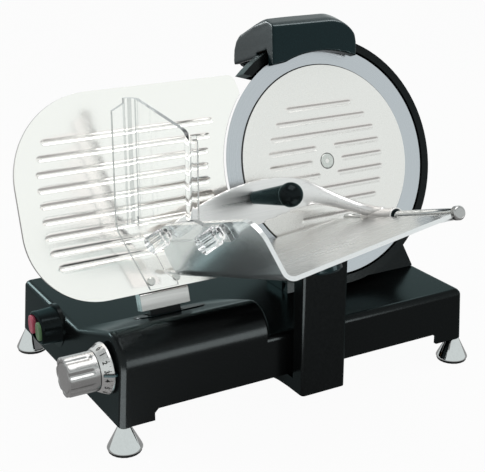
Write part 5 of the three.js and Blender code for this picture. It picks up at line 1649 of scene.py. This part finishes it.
@dataclass
class Pusher:
    """The leaf-shaped pusher, its swept arm and hub cast in one, and its handle."""

    face: float = 23.0
    sheet: float = 4.0
    right: float = -34.0
    length: float = 178.0
    top: float = -7.5
    height: float = 55.5
    curve_steps: int = 28
    hub: float = 8.5
    hub_bore: float = 6.8
    hub_rear: float = 50.0
    hub_front: float = 103.0
    hub_ease: float = 0.6
    hub_segments: int = 72
    rod_x: float = 6.0
    rod_y: float = -64.5
    root: Point = (-58.0, -26.0)
    root_sunk: float = 2.0
    tip_rise: float = 2.0
    tip_out: float = 60.0
    arm_steps: int = 8
    arm_around: int = 32
    voxel: float = 0.9
    passes: int = 8
    handle_x: float = -110.0
    handle_y: float = -25.0
    handle_gap: float = 0.3
    handle_length: float = 84.5
    handle_ease: float = 0.8
    handle_segments: int = 96
    stud: float = 2.5
    stud_length: float = 3.5
    neck: float = 6.6
    neck_inset: float = 1.0
    neck_rise: float = 1.5
    # The shank's end and the fine line: how far in from the ball's radius, and before its centre.
    collar: tuple[Point, ...] = ((1.5, 6.6), (1.5, 6.2), (2.0, 6.0), (2.0, 5.6))
    ball: float = 12.3
    ball_start: float = math.radians(-26.0)
    ball_steps: int = 24

    def build(self) -> None:
        """Makes the casting and the handle."""
        cast = evaluated(joined("pusher", [self.leaf(), self.arm()]), self.blend)
        ring = tube(self.hub_bore, self.hub, self.hub_rear, self.hub_front)
        axis = at(BLADE, self.rod_x, self.rod_y, 0.0)
        hub = lathe("hub", eased(ring, self.hub_ease, closed=True), axis, self.hub_segments, True)
        stand_in("pusher_arm", joined("pusher_arm", [cast, hub]), CAST_SILVER)
        self.handle()

    def blend(self, carrier: bpy.types.Object) -> None:
        """Runs the leaf and the arm into one casting with soft joints."""
        add_skin(carrier, self.voxel)
        add_ease(carrier, self.passes)

    def leaf_edge(self) -> list[Point]:
        """Draws the leaf's outline.

        Returns:
            Its points in the blade frame.
        """
        edge: list[Point] = []
        for curve in LEAF_CURVES:
            a, b, c, d = (
                Vector((self.right - self.length * along, self.top - self.height * down))
                for along, down in curve
            )
            for k in range(self.curve_steps):
                t = k / self.curve_steps
                s = 1 - t
                edge.append(tuple(a * s ** 3 + b * 3 * t * s ** 2 + c * 3 * t * t * s + d * t ** 3))
        return edge

    def leaf(self) -> bpy.types.Mesh:
        """Makes the leaf's plate.

        Returns:
            The closed plate.
        """
        edge = self.leaf_edge()
        count = len(edge)
        points = [(x, y, n) for n in (self.face - self.sheet, self.face) for x, y in edge]
        faces: list[Sequence[int]] = [range(count), range(count, 2 * count)]
        return mesh_from("leaf", points, faces + ring_faces(2, count), BLADE)

    def arm_keys(self) -> list[Vector]:
        """Draws a smooth path through the arm's sections.

        Returns:
            The sections along the path.
        """
        keys = [Vector(section) for section in ARM_SECTIONS]
        keys = [keys[0] * 2 - keys[1], *keys, keys[-1] * 2 - keys[-2]]
        path: list[Vector] = []
        last = len(ARM_SECTIONS) - 1
        for n in range(self.arm_steps * last + 1):
            i = min(n // self.arm_steps, last - 1)
            a, b, c, d = keys[i:i + 4]
            t = n / self.arm_steps - i
            bend = (a * 2 - b * 5 + c * 4 - d) * t * t
            twist = (b * 3 - a - c * 3 + d) * t ** 3
            path.append((b * 2 + (c - a) * t + bend + twist) * 0.5)
        return path

    def arm(self) -> bpy.types.Mesh:
        """Makes the arm as rings along its path.

        Returns:
            The arm, closed at both ends.
        """
        start = Vector((*self.root, self.face - self.root_sunk))
        tip = Vector((self.rod_x, self.rod_y + self.tip_rise, self.face + self.tip_out))
        span, around = tip - start, self.arm_around
        points: list[Sequence[float]] = []
        path = self.arm_keys()
        for s in path:
            centre = Vector((s[0] * span.x, s[1] * span.y, s[2] * span.z)) + start
            across = Vector((s[3], 0.0, s[4])).normalized() * s[6] * self.hub
            rise = Vector((0.0, s[5] * self.hub, 0.0))
            for m in range(around):
                turn = 2 * math.pi * m / around
                points.append(centre + across * math.cos(turn) + rise * math.sin(turn))
        last = (len(path) - 1) * around
        faces: list[Sequence[int]] = [range(around), range(last, last + around)]
        return mesh_from("arm", points, faces + ring_faces(len(path), around), BLADE)

    def handle(self) -> None:
        """Makes the black cone handle with a domed head behind a fine line."""
        base = self.face + self.handle_gap
        end = base + self.handle_length
        centre = end - self.ball
        tail = self.face - self.stud_length
        collar = [(self.ball - inset, centre - before) for inset, before in self.collar]
        profile = eased([
            (0.0, tail), (self.stud, tail), (self.stud, base), (self.neck - self.neck_inset, base),
            (self.neck, base + self.neck_rise), collar[0],
        ], self.handle_ease)
        profile += collar[1:]
        for k in range(self.ball_steps):
            turn = self.ball_start + (QUARTER - self.ball_start) * k / self.ball_steps
            profile.append((self.ball * math.cos(turn), centre + self.ball * math.sin(turn)))
        profile.append((0.0, end))
        axis = at(BLADE, self.handle_x, self.handle_y, 0.0)
        mesh = lathe("handle", profile, axis, self.handle_segments)
        stand_in("pusher_handle", mesh, DEEP_BLACK)


class GuardFace(IntEnum):
    """The places of the guard's finishes."""

    SHEET = 0
    EDGE = 1
    LINE = 2
    BEND = 3


@dataclass
class HandGuard:
    """The clear bent guard and its two clear ribbed screws."""

    edge: float = 1.25
    line: float = 0.5
    narrow: float = 4.6
    sharp_angle: float = 40.0
    edge_share: float = 0.7
    bend_share: float = 0.4
    seat: float = 4.6
    length: float = 22.0
    radius: float = 9.0
    neck: float = 6.3
    neck_end: float = 8.6
    shoulder: float = 8.2
    stud: float = 2.6
    stud_length: float = 4.0
    ribs: int = 10
    rib_depth: float = 1.2
    # The grip's end: radius of each ring, and how deep it lies.
    end: tuple[Point, ...] = ((5.6, 0.0), (5.0, 0.5), (0.0, 0.6))
    screw_segments: int = 160
    screw_angle: float = 28.0
    height: float = 42.0
    rear: float = 83.0
    front: float = 190.0

    def build(self) -> None:
        """Makes the guard and its screws."""
        self.sheet()
        for end, along in (("rear", self.rear), ("front", self.front)):
            self.screw(f"guard_knob_{end}", outwards(0.0, self.height, along, WALL))

    def sheet(self) -> None:
        """Makes the bent sheet: clear faces, grey edges and bends of painted reflection, painted
        shade lines.
        """
        finishes = (CLEAR_SHEET, CLEAR_EDGE_GLINT, CLEAR_SHADE_LINE, CLEAR_BEND_GLINT)
        mesh = solid_copy("hand_guard")
        for finish in finishes:
            mesh.materials.append(finish.material())
        form = bmesh.new()
        form.from_mesh(mesh)
        for face in form.faces:
            face.material_index = int(self.kind_of(face))
        # The bends' starts and the broken edges get the dark lines of painted shade.
        bend_starts = {GuardFace.SHEET, GuardFace.BEND}
        starts = [
            e for e in form.edges if {f.material_index for f in e.link_faces} == bend_starts
        ]
        bmesh.ops.bevel(
            form, geom=starts, offset=self.line * MM, offset_type="OFFSET", segments=1,
            profile=0.5, affect="EDGES", material=int(GuardFace.LINE), clamp_overlap=True)
        form.to_mesh(mesh)
        form.free()
        made = softened(mesh, self.edge, trim=int(GuardFace.LINE))
        kinds = [face.material_index for face in made.polygons]
        guard = stand_in("hand_guard", made, CLEAR_SHEET, shadow=False)
        refinish(guard, finishes[1:], kinds)

    def is_wide(self, face: bmesh.types.BMFace) -> bool:
        """Tells whether a face is wider than a cut edge."""
        return 2.0 * face.calc_area() / face.calc_perimeter() > self.narrow * MM

    def kind_of(self, face: bmesh.types.BMFace) -> GuardFace:
        """Tells the guard's faces apart.

        Args:
            face: a face of the sheet.

        Returns:
            The face's kind, from its width and its edges.
        """
        if self.is_wide(face):
            return GuardFace.SHEET
        limit = math.radians(self.sharp_angle)
        sharp = sum(e.calc_length() for e in face.edges if e.calc_face_angle(0.0) > limit)
        share = sharp / face.calc_perimeter()
        if share > self.edge_share:
            return GuardFace.EDGE
        beside = [f for e in face.edges for f in e.link_faces if f is not face]
        bent = share < self.bend_share and any(self.is_wide(f) for f in beside)
        return GuardFace.BEND if bent else GuardFace.SHEET

    def screw(self, node: str, matrix: Matrix) -> None:
        """Makes one ribbed screw.

        Args:
            node: the screw's node.
            matrix: the frame at its place on the tray's wall.
        """
        tip = self.seat + self.length
        rings: list[Ring] = [0.0, self.stud, self.stud, self.neck, self.neck, self.shoulder]
        heights = [-self.stud_length, -self.stud_length, self.seat, self.seat, self.neck_end,
                   self.neck_end]
        # The height of each ring of the grip, how far in it is, and its share of the ribs' depth.
        for height, inset, share in (
            (9.4, 0.0, 0.0), (10.2, 0.0, 0.6), (11.2, 0.0, 1.0), (tip - 1.2, 0.0, 1.0),
            (tip - 0.4, 0.35, 0.9), (tip, 1.1, 0.7),
        ):
            rings.append(fluted(self.radius - inset, self.rib_depth * share, self.ribs))
            heights.append(height)
        rings += [ring for ring, _ in self.end]
        heights += [tip - sunk for _, sunk in self.end]
        mesh = turned(node, rings, heights, matrix, self.screw_segments, angle=self.screw_angle)
        stand_in(node, mesh, CLEAR_MOULDING, shadow=False)


@dataclass
class Hood:
    """The sharpener's hood, moulded with soft edges."""

    voxel: float = 1.0
    passes: int = 14
    face: float = 16.0
    top: float = 157.0
    right: float = 50.0
    corner: float = 32.0
    brow: Point = (11.5, 20.0)
    brow_share: float = 0.12
    side_share: float = 0.15
    crown: float = 3.0
    crown_from: float = 132.0

    def build(self) -> None:
        """Makes the hood from its solid, with a sloped brow and every edge eased."""
        mesh = evaluated(solid_copy("sharpener_hood"), lambda part: add_skin(part, self.voxel))
        home = BLADE.inverted()
        for vertex in mesh.vertices:
            vertex.co = BLADE @ (self.sloped((home @ vertex.co) / MM) * MM)
        mesh = evaluated(mesh, lambda part: add_ease(part, self.passes))
        stand_in("sharpener_hood", mesh, BLACK_MOULDING)

    def sloped(self, point: Vector) -> Vector:
        """Presses the edge between the hood's face and its top down to a slope.

        Args:
            point: a point of the hood in the blade frame.

        Returns:
            The point, raised with the crown, and moved in if it stood above the slope.
        """
        u, v, w = point
        v += self.crown * min(max((v - self.crown_from) / (self.top - self.crown_from), 0.0), 1.0)
        top = self.top + self.crown
        over = Vector((max(u - self.right + self.corner, 0.0),
                       max(v - self.top - self.crown + self.corner, 0.0)))
        share = 1.0
        if min(over) > 0:
            inside, inward = self.corner - over.length, -over.normalized()
            share = max(over.normalized().y, self.side_share)
        elif top - v < self.right - u:
            inside, inward = top - v, Vector((0.0, -1.0))
        else:
            inside, inward = self.right - u, Vector((-1.0, 0.0))
            share = self.side_share
        slope = Vector((1.0 / self.brow[0], 1.0 / self.brow[1])) / share
        above = 1.0 - Vector((inside, self.face - w)).dot(slope)
        if above <= 0:
            return Vector((u, v, w))
        step = (1.0 - self.brow_share) * above / slope.length
        along = slope.normalized() * step
        return Vector((u + inward.x * along.x, v + inward.y * along.x, w - along.y))


class Ray(Enum):
    """The kinds of ray that the floor and the world tell apart."""

    CAMERA = "Is Camera Ray"
    CLEAR = "Is Transmission Ray"
    MIRROR = "Is Glossy Ray"


class Lit(Enum):
    """The pieces that a lamp lights."""

    ALL = "all_pieces"
    BLACK = "black_pieces"
    HOOD = "hood_piece"

    def pieces(self) -> Optional[bpy.types.Collection]:
        """Gathers the pieces on the first use.

        Returns:
            Their collection, or none for all pieces.
        """
        if self is Lit.ALL:
            return None
        known = bpy.data.collections.get(self.value)
        if known:
            return known
        made = bpy.data.collections.new(self.value)
        for piece in bpy.context.scene.objects:
            if self.takes(piece):
                made.objects.link(piece)
        return made

    def takes(self, piece: bpy.types.Object) -> bool:
        """Tells whether a piece is one of these.

        Args:
            piece: an object in the scene.

        Returns:
            Whether the lamp lights it.
        """
        if self is Lit.HOOD:
            return piece.name == "sharpener_hood_look"
        if piece.type != "MESH":
            return False
        return any(m and m.name in LAMP_BLACKS for m in piece.data.materials)


@dataclass(frozen=True)
class SoftBox:
    """An area lamp: where it stands and points, its sides in metres and its power in watts."""

    name: str
    place: Place
    aim: Place
    sides: Point
    power: float
    lit: Lit = Lit.ALL

    def build(self) -> None:
        """Makes the lamp."""
        data = bpy.data.lights.new(self.name, "AREA")
        data.shape = "RECTANGLE"
        data.size, data.size_y = self.sides
        data.energy = self.power
        lamp = bpy.data.objects.new(self.name, data)
        lamp.location = self.place
        beam = Vector(self.aim) - Vector(self.place)
        lamp.rotation_euler = beam.to_track_quat("-Z", "Y").to_euler()
        lamp.visible_camera = False
        bpy.context.scene.collection.objects.link(lamp)
        pieces = self.lit.pieces()
        if pieces:
            lamp.light_linking.receiver_collection = pieces


# One soft box overhead for everything. The rest draw the lines of light along the black edges.
LAMPS = (
    SoftBox("top", (0.15, -0.15, 1.9), (0.05, 0.0, 0.1), (1.5, 1.3), 17.0),
    SoftBox("front_box", (0.35, -0.91, 0.18), (-0.13, -0.06, 0.065), (0.5, 0.38), 5.0, Lit.BLACK),
    SoftBox("left_card", (-0.445, -0.33, 0.004), (-0.445, -0.33, 1.0), (0.53, 0.56), 8.5,
            Lit.BLACK),
    SoftBox("rim_box", (-0.6, 1.19, 0.68), (-0.19, 0.13, 0.085), (0.5, 0.5), 16.0, Lit.BLACK),
    SoftBox("brow_box", (0.67, 0.07, 1.35), (0.1, 0.07, 0.33), (0.9, 0.9), 26.0, Lit.HOOD),
)


@dataclass
class Studio:
    """Floor, light and camera."""

    eye: Place = (-0.36275, -0.85772, 0.52581)
    azimuth: float = math.radians(-29.84)
    elevation: float = math.radians(19.76)
    lens: float = 82.33
    sensor: float = 36.0
    floor_reach: float = 12.0
    floor_grey: Colour = (0.5, 0.5, 0.5)
    floor_white: float = 0.96
    # How bright the floor is in reflections: distance from the middle, and strength.
    mirror_near: Point = (0.6, 0.40)
    mirror_far: Point = (1.5, 0.97)
    sky: Colour = (0.97, 0.98, 1.0)
    sky_power: float = 0.42
    mirror_sky: Colour = (0.94, 1.0, 1.0)
    # How bright the world is in reflections: rise of the ray, and strength.
    mirror_low: Point = (0.5, 1.0)
    mirror_high: Point = (0.9, 0.5)

    def build(self) -> None:
        """Makes the floor, the world, the lamps and the camera."""
        self.floor()
        self.world()
        for lamp in LAMPS:
            lamp.build()
        self.camera()
        bpy.context.scene.view_settings.view_transform = "Standard"

    def any_of(self, nodes: NodeTree, shares: dict[Ray, float]) -> bpy.types.Node:
        """Adds a test for kinds of ray.

        Args:
            nodes: the floor's or the world's tree.
            shares: how much each kind of ray counts.

        Returns:
            A node that gives the largest share among the kinds that a ray is.
        """
        path = nodes.add("ShaderNodeLightPath")
        largest: Optional[bpy.types.Node] = None
        for ray, share in shares.items():
            part = nodes.add("ShaderNodeMath", {1: share}, operation="MULTIPLY")
            nodes.join(path, ray.value, part, 0)
            if largest is None:
                largest = part
                continue
            most = nodes.add("ShaderNodeMath", operation="MAXIMUM")
            nodes.join(largest, 0, most, 0)
            nodes.join(part, 0, most, 1)
            largest = most
        return largest

    def faded(self, nodes: NodeTree, near: Point, far: Point) -> bpy.types.Node:
        """Adds a soft change from one value to another.

        Args:
            nodes: the tree.
            near: where the change starts, and the value up to there.
            far: where it ends, and the value from there on.

        Returns:
            The node that gives the value.
        """
        return nodes.add("ShaderNodeMapRange", {
            "From Min": near[0], "From Max": far[0], "To Min": near[1], "To Max": far[1],
        }, interpolation_type="SMOOTHSTEP")

    def floor(self) -> None:
        """Makes a wide pale floor that keeps the shadow and shows white."""
        mesh = bpy.data.meshes.new("floor")
        far = self.floor_reach
        corners = [(-far, -far, 0.0), (far, -far, 0.0), (far, far, 0.0), (-far, far, 0.0)]
        mesh.from_pydata(corners, [], [(0, 1, 2, 3)])
        floor = bpy.data.objects.new("floor", mesh)
        bpy.context.scene.collection.objects.link(floor)
        material = bpy.data.materials.new("pale_floor")
        material.use_nodes = True
        nodes = NodeTree(material.node_tree)
        matt = nodes.add("ShaderNodeBsdfDiffuse", {"Color": (*self.floor_grey, 1.0)})
        glow = nodes.add("ShaderNodeEmission")
        place = nodes.add("ShaderNodeTexCoord")
        away = nodes.add("ShaderNodeVectorMath", operation="LENGTH")
        fade = self.faded(nodes, self.mirror_near, self.mirror_far)
        mirrored = nodes.add("ShaderNodeMath", operation="MULTIPLY")
        bright = nodes.add("ShaderNodeMath", operation="MAXIMUM")
        mix = nodes.add("ShaderNodeMixShader")
        seen = {Ray.CAMERA: 1.0, Ray.CLEAR: 1.0}
        shown = {Ray.CAMERA: self.floor_white, Ray.CLEAR: self.floor_white, Ray.MIRROR: 1.0}
        nodes.join(place, "Object", away, 0)
        nodes.join(away, "Value", fade, "Value")
        nodes.join(self.any_of(nodes, {Ray.MIRROR: 1.0}), 0, mirrored, 0)
        nodes.join(fade, "Result", mirrored, 1)
        nodes.join(self.any_of(nodes, seen), 0, bright, 0)
        nodes.join(mirrored, 0, bright, 1)
        nodes.join(bright, 0, glow, "Strength")
        nodes.join(self.any_of(nodes, shown), 0, mix, "Fac")
        nodes.join(matt, 0, mix, 1)
        nodes.join(glow, 0, mix, 2)
        nodes.surface(mix)
        mesh.materials.append(material)

    def world(self) -> None:
        """Makes a world that is white where it is seen and an even light to everything else."""
        world = bpy.data.worlds.new("studio")
        bpy.context.scene.world = world
        world.use_nodes = True
        nodes = NodeTree(world.node_tree)
        light = nodes.add("ShaderNodeBackground", {
            "Color": (*self.sky, 1.0), "Strength": self.sky_power,
        })
        white = nodes.add("ShaderNodeBackground", {"Color": (1.0, 1.0, 1.0, 1.0)})
        gloss = nodes.add("ShaderNodeBackground", {"Color": (*self.mirror_sky, 1.0)})
        place = nodes.add("ShaderNodeTexCoord")
        split = nodes.add("ShaderNodeSeparateXYZ")
        fade = self.faded(nodes, self.mirror_low, self.mirror_high)
        bright = nodes.add("ShaderNodeMixShader")
        mix = nodes.add("ShaderNodeMixShader")
        seen = {Ray.CAMERA: 1.0, Ray.CLEAR: 1.0}
        nodes.join(place, "Generated", split, 0)
        nodes.join(split, "Z", fade, "Value")
        nodes.join(fade, 0, gloss, "Strength")
        nodes.join(self.any_of(nodes, {Ray.MIRROR: 1.0}), 0, bright, "Fac")
        nodes.join(light, 0, bright, 1)
        nodes.join(gloss, 0, bright, 2)
        nodes.join(self.any_of(nodes, seen), 0, mix, "Fac")
        nodes.join(bright, 0, mix, 1)
        nodes.join(white, 0, mix, 2)
        nodes.surface(mix, "ShaderNodeOutputWorld")

    def camera(self) -> None:
        """Makes the camera at the photograph's viewing angle."""
        data = bpy.data.cameras.new("camera")
        data.lens = self.lens
        data.sensor_width = self.sensor
        camera = bpy.data.objects.new("camera", data)
        camera.location = BASE_CORNER + Vector(self.eye)
        camera.rotation_euler = (QUARTER - self.elevation, 0.0, self.azimuth)
        bpy.context.scene.collection.objects.link(camera)
        bpy.context.scene.camera = camera


def plain_nodes() -> dict[str, Finish]:
    """Chooses the finish of each node that keeps its solid's shape.

    Returns:
        The finishes by node.
    """
    return {
        row["node"]: OWN_FINISHES.get(row["node"], SLOT_FINISHES[row["material_slot"]])
        for row in frame["record"]["subparts"] if row["node"] not in OWN_SHAPES
    }


def main() -> None:
    """Builds the picture, piece by piece."""
    logging.basicConfig(level=logging.INFO, format="%(name)s: %(message)s")
    assemblies = (
        Copies(plain_nodes(), EDGES), Feet(), GaugePlate(), SlotLip(), BladeSet(),
        ThicknessKnob(), SwitchBox(), Tray(), TrayRod(), Pusher(), HandGuard(), Hood(), Studio(),
    )
    for assembly in assemblies:
        assembly.build()


if __name__ == "__main__":
    main()
